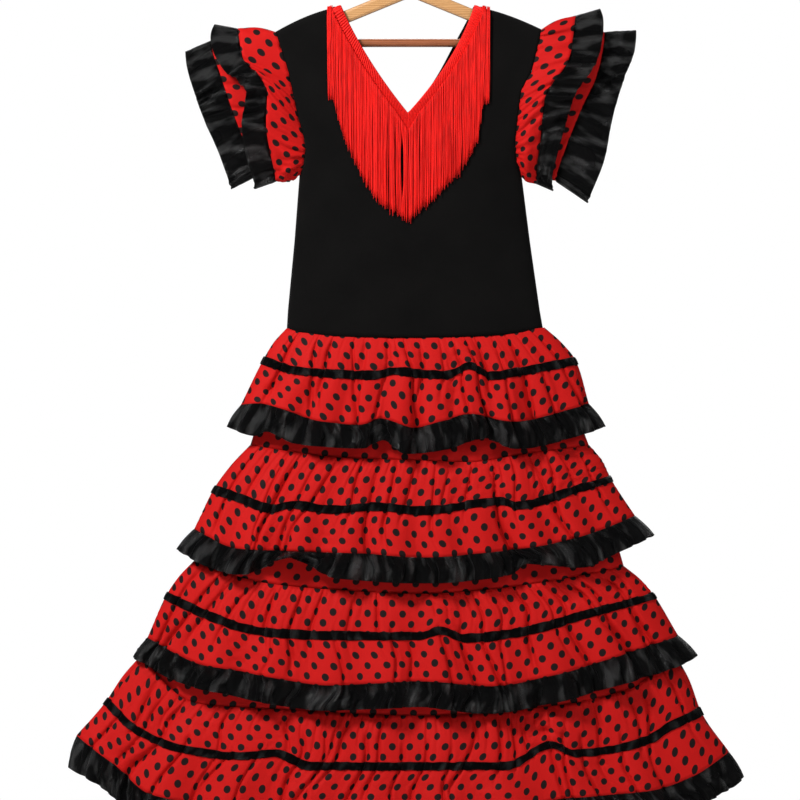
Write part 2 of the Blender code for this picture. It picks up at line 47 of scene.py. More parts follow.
# ---------------------------------------------------------------- tables
# bodice outline: z, left x, right x, half depth at centre, half depth at edge
BODICE = (
    (-110, -163, 157, 8.4, 8.0),
    (-150, -163, 157, 11.3, 10.0),
    (-197, -148, 146, 15.0, 13.2),
    (-222, -143, 133, 17.0, 15.0),
    (-246, -138, 130, 18.0, 14.5),
    (-286, -127, 126, 20.0, 10.5),
    (-307, -129, 128, 20.5, 6.5),
    (-323, -134, 133, 21.0, 0.0),
    (-402, -140, 143, 22.0, 0.0),
    (-486, -148, 155, 22.5, 0.0),
    (-520, -150, 161, 22.5, 0.0),
)
SHOULDER_Z = (-150.0, -147.0)      # left and right tips
NECK_L, NECK_R, APEX = (-84.0, -119.0), (76.0, -119.0), (-3.6, -248.0)
BOW = (6.0, 9.5)      # how far each side of the V bows out past straight, left and right

# seams of the skirt: x, z from the left edge to the right
WAIST = ((-150, -509), (-76, -517), (11, -518), (88, -516), (161, -508))
SEAM2 = ((-194, -650), (-79, -665), (11, -668), (71, -670), (126, -662), (215, -650))
SEAM3 = ((-262, -790), (-177, -815), (-97, -823), (11, -828), (82, -824), (162, -814), (257, -796))
SEAM4 = ((-322, -934), (-292, -947), (-252, -961), (-150, -967), (11, -974), (185, -961), (284, -938), (314, -931))

# each tier: its seam, the x of both edges at its belly, then x, z along the
# ribbon's middle, the tier's lower edge and the ruffle's lower edge
TIERS = {
    1: dict(
        seam=WAIST, belly=(-174, 192),
        ribbon=((-178, -546), (-137, -559), (-46, -564), (-19, -559), (42, -564),
                (71, -553), (96, -565), (130, -560), (199, -547)),
        edge=((-205, -600), (-184, -598), (-107, -620), (-61, -624), (-38, -616),
              (4, -628), (37, -619), (71, -611), (124, -620), (188, -606), (214, -598)),
        ruffle=((-222, -626), (-191, -638), (-175, -632), (-145, -646), (-61, -652),
                (-35, -642), (-7, -659), (42, -654), (91, -640), (127, -653),
                (211, -635), (235, -626)),
    ),
    2: dict(
        seam=SEAM2, belly=(-218, 232),
        ribbon=((-238, -702), (-203, -713), (-167, -725), (-144, -720), (-94, -726),
                (-41, -722), (11, -727), (110, -715), (126, -721), (196, -702), (241, -689)),
        edge=((-260, -749), (-212, -772), (-155, -775), (-60, -778), (11, -783),
              (86, -778), (166, -767), (226, -751), (269, -733)),
        ruffle=((-283, -774), (-247, -794), (-203, -804), (-144, -783), (-117, -794),
                (-89, -808), (11, -814), (122, -803), (136, -790), (205, -796),
                (256, -775), (294, -757)),
    ),
    3: dict(
        seam=SEAM3, belly=(-281, 275),
        ribbon=((-295, -830), (-234, -857), (-188, -871), (-120, -876), (11, -877),
                (35, -870), (65, -880), (139, -871), (200, -854), (293, -830)),
        edge=((-317, -880), (-251, -912), (-211, -918), (-97, -936), (11, -931),
              (94, -937), (176, -923), (248, -902), (322, -878)),
        ruffle=((-334, -904), (-281, -932), (-221, -947), (-101, -966), (11, -962),
                (89, -970), (152, -961), (259, -934), (317, -917), (346, -902)),
    ),
    4: dict(
        seam=SEAM4, belly=(-365, 347),
        ribbon=((-368, -958), (-331, -991), (-277, -1012), (-206, -1021), (-164, -1017),
                (-121, -1033), (114, -1033), (168, -1007), (197, -1018), (284, -1003),
                (312, -986), (350, -970)),
        edge=((-402, -998), (-354, -1034), (-314, -1067), (-253, -1078), (11, -1086),
              (107, -1084), (185, -1072), (293, -1062), (341, -1046), (383, -1018)),
        ruffle=((-413, -1036), (-373, -1057), (-314, -1099), (-206, -1114), (-97, -1120),
                (11, -1117), (114, -1120), (185, -1105), (293, -1094), (371, -1070), (401, -1048)),
    ),
}
# half depth of the skirt: seam above, belly, ribbon, lower edge, ruffle's edge
DEPTH = {1: (22, 29, 35, 41, 48), 2: (31, 38, 44, 51, 58), 3: (38, 45, 51, 58, 65), 4: (44, 51, 57, 64, 72)}
# folds of the tiers: place across the width (-1 left, 1 right), then the depth
# of each tier's crest there and of the trough to its right
FOLDS = (
    # place, tier 1, tier 2, tier 3, tier 4
    (-0.94, (2.0, 2.5), (2.5, 3.0), (3.0, 3.0), (3.5, 3.5)),
    (-0.75, (3.5, 4.0), (5.0, 4.5), (4.5, 4.0), (6.0, 5.0)),
    (-0.54, (4.5, 3.5), (6.0, 3.5), (5.5, 4.5), (5.0, 4.5)),
    (-0.31, (3.5, 4.5), (4.0, 5.0), (4.5, 3.5), (6.5, 4.0)),
    (-0.09, (5.0, 4.0), (5.0, 3.5), (5.0, 5.0), (4.5, 5.0)),
    (0.12, (4.5, 4.5), (4.5, 4.0), (6.0, 4.0), (6.0, 4.5)),
    (0.33, (3.5, 3.0), (4.0, 3.5), (4.5, 4.5), (5.0, 5.5)),
    (0.54, (5.5, 4.5), (6.5, 5.5), (5.5, 4.0), (7.0, 5.0)),
    (0.75, (4.0, 2.5), (5.0, 3.0), (5.0, 3.0), (6.0, 4.0)),
    (0.93, (2.5, 0.0), (2.5, 0.0), (3.0, 0.0), (3.5, 0.0)),
)
FOLD_GROWTH = (0.0, 0.25, 0.55, 1.0, 1.5)   # share of a fold's depth down a tier
# sleeve rings from the shoulder round the front to the underarm:
# x, z, half depth at the lower edge of each flounce and ruffle
# fringe: share of the way along the braid's outer edge, and its length there
FRINGE = {
    "left": ((-0.2, 104), (0, 110), (0.21, 129), (0.6, 137), (0.85, 121), (1, 109)),
    "right": ((-0.2, 102), (0, 120), (0.12, 142), (0.32, 139), (0.57, 130), (0.82, 119), (1, 109)),
}
SLEEVES = {
    "left": dict(
        upper=((-209, -146, 0), (-208, -150, 9), (-207, -158, 13), (-204, -181, 20),
               (-176, -215, 24), (-175, -265, 20), (-161, -329, 0)),
        upper_ruffle=((-236, -140, 0), (-243, -150, 12), (-243, -165, 18), (-226, -197, 26),
                      (-200, -220, 30), (-205, -265, 27), (-186, -338, 0)),
        lower=((-241, -160, 0), (-241, -165, 6), (-240, -172, 9), (-231, -200, 14),
               (-215, -246, 17), (-202, -280, 13), (-184, -322, 0)),
        lower_ruffle=((-272, -174, 0), (-272, -179, 7), (-271, -190, 11), (-262, -223, 17),
                      (-250, -255, 19), (-232, -295, 16), (-216, -338, 0)),
    ),
    "right": dict(
        upper=((201, -130, 0), (199, -136, 9), (197, -150, 13), (190, -188, 20),
               (165, -222, 24), (156, -275, 20), (149, -331, 0)),
        upper_ruffle=((229, -121, 0), (233, -132, 12), (233, -150, 18), (224, -190, 26),
                      (200, -225, 30), (184, -268, 27), (167, -339, 0)),
        lower=((234, -150, 0), (234, -155, 6), (233, -165, 9), (224, -205, 14),
               (205, -245, 17), (188, -285, 13), (172, -328, 0)),
        lower_ruffle=((272, -148, 0), (272, -154, 7), (270, -172, 11), (256, -210, 17),
                      (242, -260, 19), (234, -305, 16), (213, -355, 0)),
    ),
}

# ---------------------------------------------------------------- curves
def pchip(xk, yk, x):
    """Smooth monotone interpolation; yk may have trailing axes."""
    xk, yk, x = np.asarray(xk, float), np.asarray(yk, float), np.asarray(x, float)
    shape = (-1,) + (1,) * (yk.ndim - 1)
    h = np.diff(xk).reshape(shape)
    d = np.diff(yk, axis=0) / h
    m = np.zeros_like(yk)
    if len(xk) > 2:
        w1, w2 = 2 * h[1:] + h[:-1], h[1:] + 2 * h[:-1]
        same = (d[:-1] * d[1:]) > 0
        with np.errstate(divide="ignore", invalid="ignore"):
            inner = (w1 + w2) / (w1 / d[:-1] + w2 / d[1:])
        m[1:-1] = np.where(same, np.nan_to_num(inner), 0)
    m[0], m[-1] = d[0], d[-1]
    i = np.clip(np.searchsorted(xk, x) - 1, 0, len(xk) - 2)
    t = ((x - xk[i]) / (xk[i + 1] - xk[i])).reshape(shape)
    hh = h[i]
    a, b, ma, mb = yk[i], yk[i + 1], m[i], m[i + 1]
    return ((1 + 2 * t) * (1 - t) ** 2 * a + t * (1 - t) ** 2 * hh * ma
            + t * t * (3 - 2 * t) * b + t * t * (t - 1) * hh * mb)


def col(table, i):
    return np.array([r[i] for r in table], float)


def along(table, x):
    return pchip(col(table, 0), col(table, 1), np.clip(x, table[0][0], table[-1][0]))


def down(table, z, i):
    return np.interp(-np.asarray(z, float), -col(table, 0), col(table, i))


def noise1(x, wave, seed, octaves=3):
    """Smooth seeded noise along a line, about -1 to 1, of a given wavelength."""
    out = np.zeros_like(x, dtype=float)
    for o in range(octaves):
        rng = np.random.default_rng(seed * 31 + o)
        w = wave / (1.7 ** o)
        k = x / w
        i0 = np.floor(k).astype(int)
        t = k - i0
        base = int(i0.min()) - 1
        vals = rng.uniform(-1, 1, int(i0.max()) - base + 4)
        t = t * t * (3 - 2 * t)
        out += (vals[i0 - base] * (1 - t) + vals[i0 - base + 1] * t) / (1.5 ** o)
    return out / 1.6


def unit(v):
    return v / np.maximum(np.linalg.norm(v, axis=-1, keepdims=True), 1e-9)


def level_normals(grid, side):
    """Outward level normals along each row of a front (side 1) or back panel."""
    t = np.gradient(grid, axis=1)
    n = np.stack([t[..., 1] * side, -t[..., 0] * side, np.zeros(t.shape[:2])], axis=-1)
    return unit(n)


# ---------------------------------------------------------------- relaxing cloth
def relax(T, N, rest_h, pins, c_in, c_out, start, iters, bend=None, closed=False, hold=(0.10, 0.25)):
    """Lets a gathered sheet settle: it keeps its cut width and length, buckles
    along N between -c_in and c_out, and otherwise stays near its place T."""
    R, C = T.shape[:2]
    rest_h = np.broadcast_to(np.asarray(rest_h, float), (R,)).reshape(R, 1, 1)
    P = T + N * start[..., None]
    rest_v = np.linalg.norm(np.diff(T, axis=0), axis=2)
    rest_v = 0.5 * rest_v + 0.5 * rest_v.mean(axis=1, keepdims=True)
    c_in, c_out = (c if c.ndim == 2 else c[:, None] for c in (c_in, c_out))
    if bend is None:
        bend = np.ones(R)
    bend = bend[:, None, None]
    up = np.zeros_like(T)
    up[..., 2] = 1
    pinned = np.zeros((R, C), bool)
    for r, c in pins:
        pinned[r, c] = True
    P0 = P.copy()
    diag = np.sqrt(rest_v.mean(axis=1)[:, None, None] ** 2 + rest_h[1:] ** 2)

    def pair(A, B, rest, k):
        d = B - A
        L = np.linalg.norm(d, axis=-1, keepdims=True)
        return d * ((L - rest) / np.maximum(L, 1e-6) * k)

    def apart(A, B, least, k):
        d = B - A
        L = np.linalg.norm(d, axis=-1, keepdims=True)
        return d * (np.minimum(L - least, 0) / np.maximum(L, 1e-6) * k)

    for it in range(iters):
        D = P - T
        dn = (D * N).sum(-1)
        dz = D[..., 2]
        rest_part = D - N * dn[..., None] - up * dz[..., None]
        P = (T + N * np.clip(dn, -c_in, c_out)[..., None] + up * (dz * (1 - hold[1]))[..., None]
             + rest_part * (1 - hold[0]))
        for _ in range(2):
            if closed:
                for o in (0, 1):
                    A, B = P[:, o::2], np.roll(P, -1, axis=1)[:, o::2]
                    m = pair(A, B, rest_h, 0.5)
                    P[:, o::2] += m
                    Q = np.roll(P, -1, axis=1)
                    Q[:, o::2] -= m
                    P = np.roll(Q, 1, axis=1)
            else:
                for o in (0, 1):
                    A, B = P[:, o:C - 1:2], P[:, o + 1:C:2]
                    m = pair(A, B, rest_h, 0.5)
                    P[:, o:C - 1:2] += m
                    P[:, o + 1:C:2] -= m
            for o in (0, 1):
                A, B = P[o:R - 1:2], P[o + 1:R:2]
                m = pair(A, B, rest_v[o::2][:, :, None], 0.35)
                P[o:R - 1:2] += m
                P[o + 1:R:2] -= m
        # shear
        for s in (1, -1):
            if s == 1:
                m = pair(P[:-1, :-1], P[1:, 1:], diag, 0.07)
                P[:-1, :-1] += m
                P[1:, 1:] -= m
            else:
                m = pair(P[:-1, 1:], P[1:, :-1], diag, 0.07)
                P[:-1, 1:] += m
                P[1:, :-1] -= m
        # stiffness: stretches of cloth stay fairly straight
        for k, share, w in ((2, 0.86, 0.22), (4, 0.70, 0.14), (8, 0.62, 0.06)):
            if C > 3 * k:
                m = apart(P[:, :-k], P[:, k:], k * rest_h * share, w) * bend
                P[:, :-k] += m
                P[:, k:] -= m
                if closed:
                    m = apart(P[:, -k:], P[:, :k], k * rest_h * share, w) * bend
                    P[:, -k:] += m
                    P[:, :k] -= m
        for k, w in ((2, 0.12), (4, 0.05)):
            if R > 2 * k:
                rv = np.stack([rest_v[i:i + k].sum(axis=0) for i in range(R - k)])[..., None]
                m = apart(P[:-k], P[k:], rv * 0.985, w)
                P[:-k] += m
                P[k:] -= m
        P[pinned] = P0[pinned]
    Q = P.copy()
    Q[:, 1:-1] = P[:, :-2] * 0.25 + P[:, 1:-1] * 0.5 + P[:, 2:] * 0.25
    if closed:
        Q[:, 0] = P[:, -1] * 0.25 + P[:, 0] * 0.5 + P[:, 1] * 0.25
        Q[:, -1] = P[:, -2] * 0.25 + P[:, -1] * 0.5 + P[:, 0] * 0.25
    return Q


# ---------------------------------------------------------------- mesh makers
MATS = {}


def surface_normals(P, closed=False):
    if closed:
        W = np.concatenate([P[:, -1:], P, P[:, :1]], axis=1)
        du = (W[:, 2:] - W[:, :-2])
    else:
        du = np.gradient(P, axis=1)
    dv = np.gradient(P, axis=0)
    return unit(np.cross(du, dv))


def sheet_mesh(name, P, uv, thick, mat, facing, closed=False):
    """A thin closed shell on a grid; facing is a point or function that says
    which way is out; uv is (R, C, 2) in metres of cloth."""
    n = surface_normals(P, closed)
    if (n * facing).sum() < 0:
        n = -n
    R, C = P.shape[:2]
    outer, inner = P + n * thick / 2, P - n * thick / 2
    verts = np.concatenate([outer.reshape(-1, 3), inner.reshape(-1, 3)]) * MM
    K = R * C
    idx = np.arange(K).reshape(R, C)
    nxt = np.roll(idx, -1, axis=1)
    cc = C if closed else C - 1
    a, b = idx[:-1, :cc], nxt[:-1, :cc]
    d, e = idx[1:, :cc], nxt[1:, :cc]
    quads = np.stack([a, d, e, b], axis=-1).reshape(-1, 4)
    # orient the outer quads along n
    q = quads[0]
    flat = P.reshape(-1, 3)
    fn = np.cross(flat[quads[:, 1]] - flat[quads[:, 0]], flat[quads[:, 3]] - flat[quads[:, 0]])
    if (fn * n.reshape(-1, 3)[quads[:, 0]]).sum() < 0:
        quads = quads[:, ::-1]
    faces = [quads, quads[:, ::-1] + K]
    rims = []
    rims.append(np.stack([idx[0, :cc], nxt[0, :cc]], axis=-1))
    rims.append(np.stack([nxt[-1, :cc], idx[-1, :cc]], axis=-1))
    if not closed:
        rims.append(np.stack([idx[1:, 0], idx[:-1, 0]], axis=-1))
        rims.append(np.stack([idx[:-1, -1], idx[1:, -1]], axis=-1))
    flip = bool((quads[0] != np.array([a.flat[0], d.flat[0], e.flat[0], b.flat[0]])).any())
    for r in rims:
        rq = np.stack([r[:, 0], r[:, 1], r[:, 1] + K, r[:, 0] + K], axis=-1)
        faces.append(rq if not flip else rq[:, ::-1])
    faces = np.concatenate(faces)
    me = bpy.data.meshes.new(name)
    me.vertices.add(len(verts))
    me.vertices.foreach_set("co", verts.astype(np.float32).ravel())
    me.loops.add(faces.size)
    me.loops.foreach_set("vertex_index", faces.astype(np.int32).ravel())
    me.polygons.add(len(faces))
    me.polygons.foreach_set("loop_start", np.arange(0, faces.size, 4, dtype=np.int32))
    me.polygons.foreach_set("loop_total", np.full(len(faces), 4, dtype=np.int32))
    me.update(calc_edges=True)
    me.polygons.foreach_set("use_smooth", np.ones(len(faces), bool))
    if uv is not None:
        layer = me.uv_layers.new(name="cloth")
        uvv = np.concatenate([uv.reshape(-1, 2)] * 2)
        loopuv = uvv[faces.ravel()]
        if closed:   # close the seam of the tube in the cloth's own plane
            width = uv[:, -1, 0].max() + (uv[0, 1, 0] - uv[0, 0, 0])
            lu = loopuv.reshape(-1, 4, 2)
            wrap = (lu[..., 0].max(axis=1) - lu[..., 0].min(axis=1)) > width / 2
            fix = lu[wrap]
            fix[..., 0] = np.where(fix[..., 0] < width / 2, fix[..., 0] + width, fix[..., 0])
            lu[wrap] = fix
            loopuv = lu.reshape(-1, 2)
        layer.data.foreach_set("uv", loopuv.astype(np.float32).ravel())
    me.validate()
    ob = bpy.data.objects.new(name, me)
    bpy.context.scene.collection.objects.link(ob)
    me.materials.append(MATS[mat])
    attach(ob, "root")
    return ob


def declare(P, width=None, length=None, closed=False):
    Q = np.concatenate([P, P[:, :1]], axis=1) if closed else P
    w = np.linalg.norm(np.diff(Q, axis=1), axis=2).sum(axis=1).max() if width is None else width
    h = np.linalg.norm(np.diff(P, axis=0), axis=2).sum(axis=0).max() if length is None else length
    w, h = w * MM, max(h * MM, 0.0102)


# ---------------------------------------------------------------- materials
def new_mat(name):
    m = bpy.data.materials.new(name)
    m.use_nodes = True
    nt = m.node_tree
    bsdf = nt.nodes["Principled BSDF"]
    MATS[name] = m
    return m, nt, bsdf


def nd(nt, kind, **kw):
    n = nt.nodes.new(kind)
    for k, v in kw.items():
        setattr(n, k, v)
    return n


def math_node(nt, op, a, b=None, c=None):
    n = nt.nodes.new("ShaderNodeMath")
    n.operation = op
    for i, v in enumerate((a, b, c)):
        if v is None:
            continue
        if isinstance(v, (int, float)):
            n.inputs[i].default_value = v
        else:
            nt.links.new(v, n.inputs[i])
    return n.outputs[0]


def mix_col(nt, fac, a, b, blend="MIX"):
    n = nt.nodes.new("ShaderNodeMix")
    n.data_type = "RGBA"
    n.blend_type = blend
    for sock, v in ((n.inputs[0], fac), (n.inputs[6], a), (n.inputs[7], b)):
        if isinstance(v, (int, float)):
            sock.default_value = v
        elif isinstance(v, tuple):
            sock.default_value = v
        else:
            nt.links.new(v, sock)
    return n.outputs[2]


def noise_node(nt, vec, scale, detail=2.0, rough=0.5):
    n = nt.nodes.new("ShaderNodeTexNoise")
    n.inputs["Scale"].default_value = scale
    n.inputs["Detail"].default_value = detail
    n.inputs["Roughness"].default_value = rough
    if vec is not None:
        nt.links.new(vec, n.inputs["Vector"])
    return n.outputs["Fac"]


def ramp(nt, fac, stops):
    n = nt.nodes.new("ShaderNodeValToRGB")
    cr = n.color_ramp
    while len(cr.elements) < len(stops):
        cr.elements.new(0.5)
    for e, (p, c) in zip(cr.elements, stops):
        e.position = p
        e.color = c
    nt.links.new(fac, n.inputs[0])
    return n.outputs[0]


def bump(nt, bsdf, height, strength, distance):
    n = nt.nodes.new("ShaderNodeBump")
    n.inputs["Strength"].default_value = strength
    n.inputs["Distance"].default_value = distance
    nt.links.new(height, n.inputs["Height"])
    nt.links.new(n.outputs[0], bsdf.inputs["Normal"])
    return n


DOT_STEP = 0.0172     # nearest dots, centre to centre
DOT_R = 0.0043
RED = (0.575, 0.0065, 0.0055, 1)
RED_DEEP = (0.42, 0.0042, 0.0038, 1)
DOT = (0.0105, 0.0045, 0.0045, 1)


def weave_height(nt, uv, pitch):
    """A plain weave from the cloth's own coordinates."""
    sep = nt.nodes.new("ShaderNodeSeparateXYZ")
    nt.links.new(uv, sep.inputs[0])
    k = 2 * math.pi / pitch
    a = math_node(nt, "SINE", math_node(nt, "MULTIPLY", sep.outputs[0], k))
    b = math_node(nt, "SINE", math_node(nt, "MULTIPLY", sep.outputs[1], k))
    return math_node(nt, "MULTIPLY", a, b)


def make_materials():
    # dotted red crepe
    m, nt, b = new_mat("dotted_crepe")
    uvn = nd(nt, "ShaderNodeUVMap", uv_map="cloth")
    uv = uvn.outputs[0]
    sep = nt.nodes.new("ShaderNodeSeparateXYZ")
    nt.links.new(uv, sep.inputs[0])
    wob = noise_node(nt, uv, 60.0, 1.0)
    r2 = math.sqrt(0.5)
    u, v = sep.outputs[0], sep.outputs[1]
    p = math_node(nt, "MULTIPLY", math_node(nt, "ADD", u, v), r2 / DOT_STEP)
    q = math_node(nt, "MULTIPLY", math_node(nt, "SUBTRACT", u, v), r2 / DOT_STEP)
    fp = math_node(nt, "SUBTRACT", math_node(nt, "FRACT", p), 0.5)
    fq = math_node(nt, "SUBTRACT", math_node(nt, "FRACT", q), 0.5)
    d = math_node(nt, "SQRT", math_node(nt, "ADD", math_node(nt, "MULTIPLY", fp, fp),
                                        math_node(nt, "MULTIPLY", fq, fq)))
    d = math_node(nt, "ADD", d, math_node(nt, "MULTIPLY", math_node(nt, "SUBTRACT", wob, 0.5), 0.03))
    edge = DOT_R / DOT_STEP
    mask = ramp(nt, d, [(edge - 0.012, (1, 1, 1, 1)), (edge + 0.012, (0, 0, 0, 1))])
    tone = noise_node(nt, uv, 14.0, 3.0)
    red = mix_col(nt, math_node(nt, "MULTIPLY", tone, 0.55), RED, RED_DEEP)
    fleck = noise_node(nt, uv, 900.0, 1.0)
    red = mix_col(nt, math_node(nt, "MULTIPLY", fleck, 0.18), red, RED_DEEP)
    colr = mix_col(nt, mask, red, DOT)
    nt.links.new(colr, b.inputs["Base Color"])
    rough = math_node(nt, "ADD", 0.62, math_node(nt, "MULTIPLY", tone, 0.2))
    nt.links.new(rough, b.inputs["Roughness"])
    b.inputs["Specular IOR Level"].default_value = 0.13
    b.inputs["Sheen Weight"].default_value = 0.02
    b.inputs["Sheen Roughness"].default_value = 0.4
    b.inputs["Sheen Tint"].default_value = (1.0, 0.35, 0.3, 1)
    weave = weave_height(nt, uv, 0.0009)
    crep = noise_node(nt, uv, 420.0, 2.0)
    hgt = math_node(nt, "ADD", math_node(nt, "MULTIPLY", weave, 0.3), crep)
    bump(nt, b, hgt, 0.25, 0.0003)

    # plain red for the facing of seams is the same cloth; black satin
    for name, rough0, spec in (("black_satin", 0.22, 0.17), ("satin_ribbon", 0.28, 0.08)):
        m, nt, b = new_mat(name)
        uvn = nd(nt, "ShaderNodeUVMap", uv_map="cloth")
        uv = uvn.outputs[0]
        tone = noise_node(nt, uv, 25.0, 3.0)
        colr = mix_col(nt, tone, (0.0004, 0.0004, 0.0005, 1), (0.0018, 0.0018, 0.0020, 1))
        nt.links.new(colr, b.inputs["Base Color"])
        mp = nt.nodes.new("ShaderNodeMapping")
        mp.inputs["Scale"].default_value = (1.0, 0.25, 1.0)
        nt.links.new(uv, mp.inputs[0])
        crease = noise_node(nt, mp.outputs[0], 150.0, 3.0, 0.6)
        rg = math_node(nt, "ADD", rough0, math_node(nt, "MULTIPLY", tone, 0.12))
        nt.links.new(rg, b.inputs["Roughness"])
        # painted sheen: noise patches turn the satin's shine up and down, standing in for the sheen off rumpled satin
        spread = nt.nodes.new("ShaderNodeMapping")
        spread.inputs["Scale"].default_value = (1.0, 0.45, 1.0)
        nt.links.new(uv, spread.inputs[0])
        painted_sheen_patch = noise_node(nt, spread.outputs[0], 64.0, 2.0, 0.42)
        painted_sheen_patch = math_node(nt, "MULTIPLY", math_node(nt, "SUBTRACT", painted_sheen_patch, 0.50), 7.0)
        painted_sheen_patch = math_node(nt, "MINIMUM", math_node(nt, "MAXIMUM", painted_sheen_patch, 0.0), 1.0)
        shine = math_node(nt, "ADD", spec * 0.35, math_node(nt, "MULTIPLY", painted_sheen_patch, spec * 3.2))
        nt.links.new(shine, b.inputs["Specular IOR Level"])
        b.inputs["Anisotropic"].default_value = 0.4
        b.inputs["Sheen Weight"].default_value = 0.01
        weave = weave_height(nt, uv, 0.0007)
        hgt = math_node(nt, "ADD", math_node(nt, "MULTIPLY", weave, 0.06), crease)
        bump(nt, b, hgt, 0.85, 0.0030)

    # black jersey
    m, nt, b = new_mat("black_jersey")
    uvn = nd(nt, "ShaderNodeUVMap", uv_map="cloth")
    uv = uvn.outputs[0]
    tone = noise_node(nt, uv, 18.0, 4.0)
    colr = mix_col(nt, tone, (0.0028, 0.0027, 0.0027, 1), (0.0062, 0.0058, 0.0056, 1))
    nt.links.new(colr, b.inputs["Base Color"])
    b.inputs["Roughness"].default_value = 0.95
    b.inputs["Specular IOR Level"].default_value = 0.05
    b.inputs["Sheen Weight"].default_value = 0.02
    b.inputs["Sheen Roughness"].default_value = 0.5
    sepk = nt.nodes.new("ShaderNodeSeparateXYZ")
    nt.links.new(uv, sepk.inputs[0])
    ribs = math_node(nt, "SINE", math_node(nt, "MULTIPLY", sepk.outputs[0], 2 * math.pi / 0.0011))
    rows = math_node(nt, "SINE", math_node(nt, "MULTIPLY", sepk.outputs[1], 2 * math.pi / 0.0014))
    knit = math_node(nt, "ADD", ribs, math_node(nt, "MULTIPLY", rows, 0.4))
    fuzz = noise_node(nt, uv, 700.0, 2.0)
    bump(nt, b, math_node(nt, "ADD", math_node(nt, "MULTIPLY", knit, 0.4), fuzz), 0.3, 0.0004)

    # fringe yarn and braid
    for name, colour, dark, stretch, share in (
            ("fringe_yarn", (0.93, 0.013, 0.009, 1), (0.33, 0.002, 0.002, 1), 0.03, 0.5),
            ("braid_yarn", (0.86, 0.014, 0.010, 1), (0.40, 0.004, 0.004, 1), 1.0, 0.5)):
        m, nt, b = new_mat(name)
        geo = nt.nodes.new("ShaderNodeTexCoord")
        vec = geo.outputs["Object"]
        mp = nt.nodes.new("ShaderNodeMapping")
        mp.inputs["Scale"].default_value = (1.0, 1.0, stretch)
        nt.links.new(vec, mp.inputs[0])
        tone = noise_node(nt, mp.outputs[0], 520.0, 2.0)
        big = noise_node(nt, vec, 30.0, 2.0)
        streak = ramp(nt, tone, [(0.50, (0, 0, 0, 1)), (0.66, (1, 1, 1, 1))])
        colr = mix_col(nt, math_node(nt, "MULTIPLY", streak, share), colour, dark)
        colr = mix_col(nt, math_node(nt, "MULTIPLY", big, 0.2), colr, dark)
        nt.links.new(colr, b.inputs["Base Color"])
        b.inputs["Roughness"].default_value = 0.5
        b.inputs["Specular IOR Level"].default_value = 0.18
        b.inputs["Sheen Weight"].default_value = 0.02
        b.inputs["Sheen Tint"].default_value = (1.0, 0.3, 0.25, 1)
        twist = nt.nodes.new("ShaderNodeTexWave")
        twist.wave_type = "BANDS"
        twist.bands_direction = "DIAGONAL"
        twist.inputs["Scale"].default_value = 420.0
        twist.inputs["Distortion"].default_value = 1.5
        nt.links.new(vec, twist.inputs["Vector"])
        bump(nt, b, twist.outputs["Fac"], 0.35, 0.0003)

    # varnished beech, and the darker dowel
    for name, light, dark, rough0 in (("beech", (0.66, 0.36, 0.145, 1), (0.47, 0.225, 0.075, 1), 0.36),
                                      ("dowel", (0.37, 0.115, 0.038, 1), (0.23, 0.062, 0.020, 1), 0.33)):
        m, nt, b = new_mat(name)
        geo = nt.nodes.new("ShaderNodeTexCoord")
        mp = nt.nodes.new("ShaderNodeMapping")
        mp.inputs["Scale"].default_value = (6.0, 60.0, 60.0)
        nt.links.new(geo.outputs["Object"], mp.inputs[0])
        grain = noise_node(nt, mp.outputs[0], 6.0, 5.0, 0.6)
        wave = nt.nodes.new("ShaderNodeTexWave")
        wave.bands_direction = "Z"
        wave.inputs["Scale"].default_value = 2.0
        wave.inputs["Distortion"].default_value = 6.0
        wave.inputs["Detail"].default_value = 3.0
        nt.links.new(mp.outputs[0], wave.inputs["Vector"])
        mixf = math_node(nt, "ADD", math_node(nt, "MULTIPLY", grain, 0.6),
                         math_node(nt, "MULTIPLY", wave.outputs["Fac"], 0.4))
        colr = ramp(nt, mixf, [(0.25, dark), (0.75, light)])
        nt.links.new(colr, b.inputs["Base Color"])
        rg = math_node(nt, "ADD", rough0, math_node(nt, "MULTIPLY", grain, 0.15))
        nt.links.new(rg, b.inputs["Roughness"])
        b.inputs["Coat Weight"].default_value = 0.35
        b.inputs["Coat Roughness"].default_value = 0.15
        bump(nt, b, grain, 0.15, 0.0004)

    m, nt, b = new_mat("wire")
    geo = nt.nodes.new("ShaderNodeTexCoord")
    tone = noise_node(nt, geo.outputs["Object"], 90.0, 4.0)
    colr = mix_col(nt, tone, (0.62, 0.62, 0.63, 1), (0.46, 0.46, 0.47, 1))
    nt.links.new(colr, b.inputs["Base Color"])
    b.inputs["Metallic"].default_value = 1.0
    nt.links.new(math_node(nt, "ADD", 0.12, math_node(nt, "MULTIPLY", tone, 0.2)), b.inputs["Roughness"])
    bump(nt, b, noise_node(nt, geo.outputs["Object"], 600.0, 2.0), 0.1, 0.0002)

    m, nt, b = new_mat("floor_white")
    b.inputs["Base Color"].default_value = (0.9, 0.9, 0.89, 1)
    b.inputs["Roughness"].default_value = 0.9


make_materials()

# ---------------------------------------------------------------- skirt envelope
def row_points(s, table, depth, fold=None, growth=0.0, ends=None, drop=0.0, side=1):
    """One row of a front (side 1) or back (-1) panel, as in the CAD model."""
    x0, x1 = (table[0][0], table[-1][0]) if ends is None else ends
    x = x0 + (x1 - x0) * (s + 1) / 2
    xt = table[0][0] + (table[-1][0] - table[0][0]) * (s + 1) / 2
    rnd = np.sqrt(np.maximum(1 - s * s, 0))
    y = depth * rnd
    if fold is not None:
        y = y + fold * growth * np.minimum(1.0, 1.6 * rnd)
    return np.stack([x, -side * (y + 0.2), along(table, xt) - drop], axis=-1)


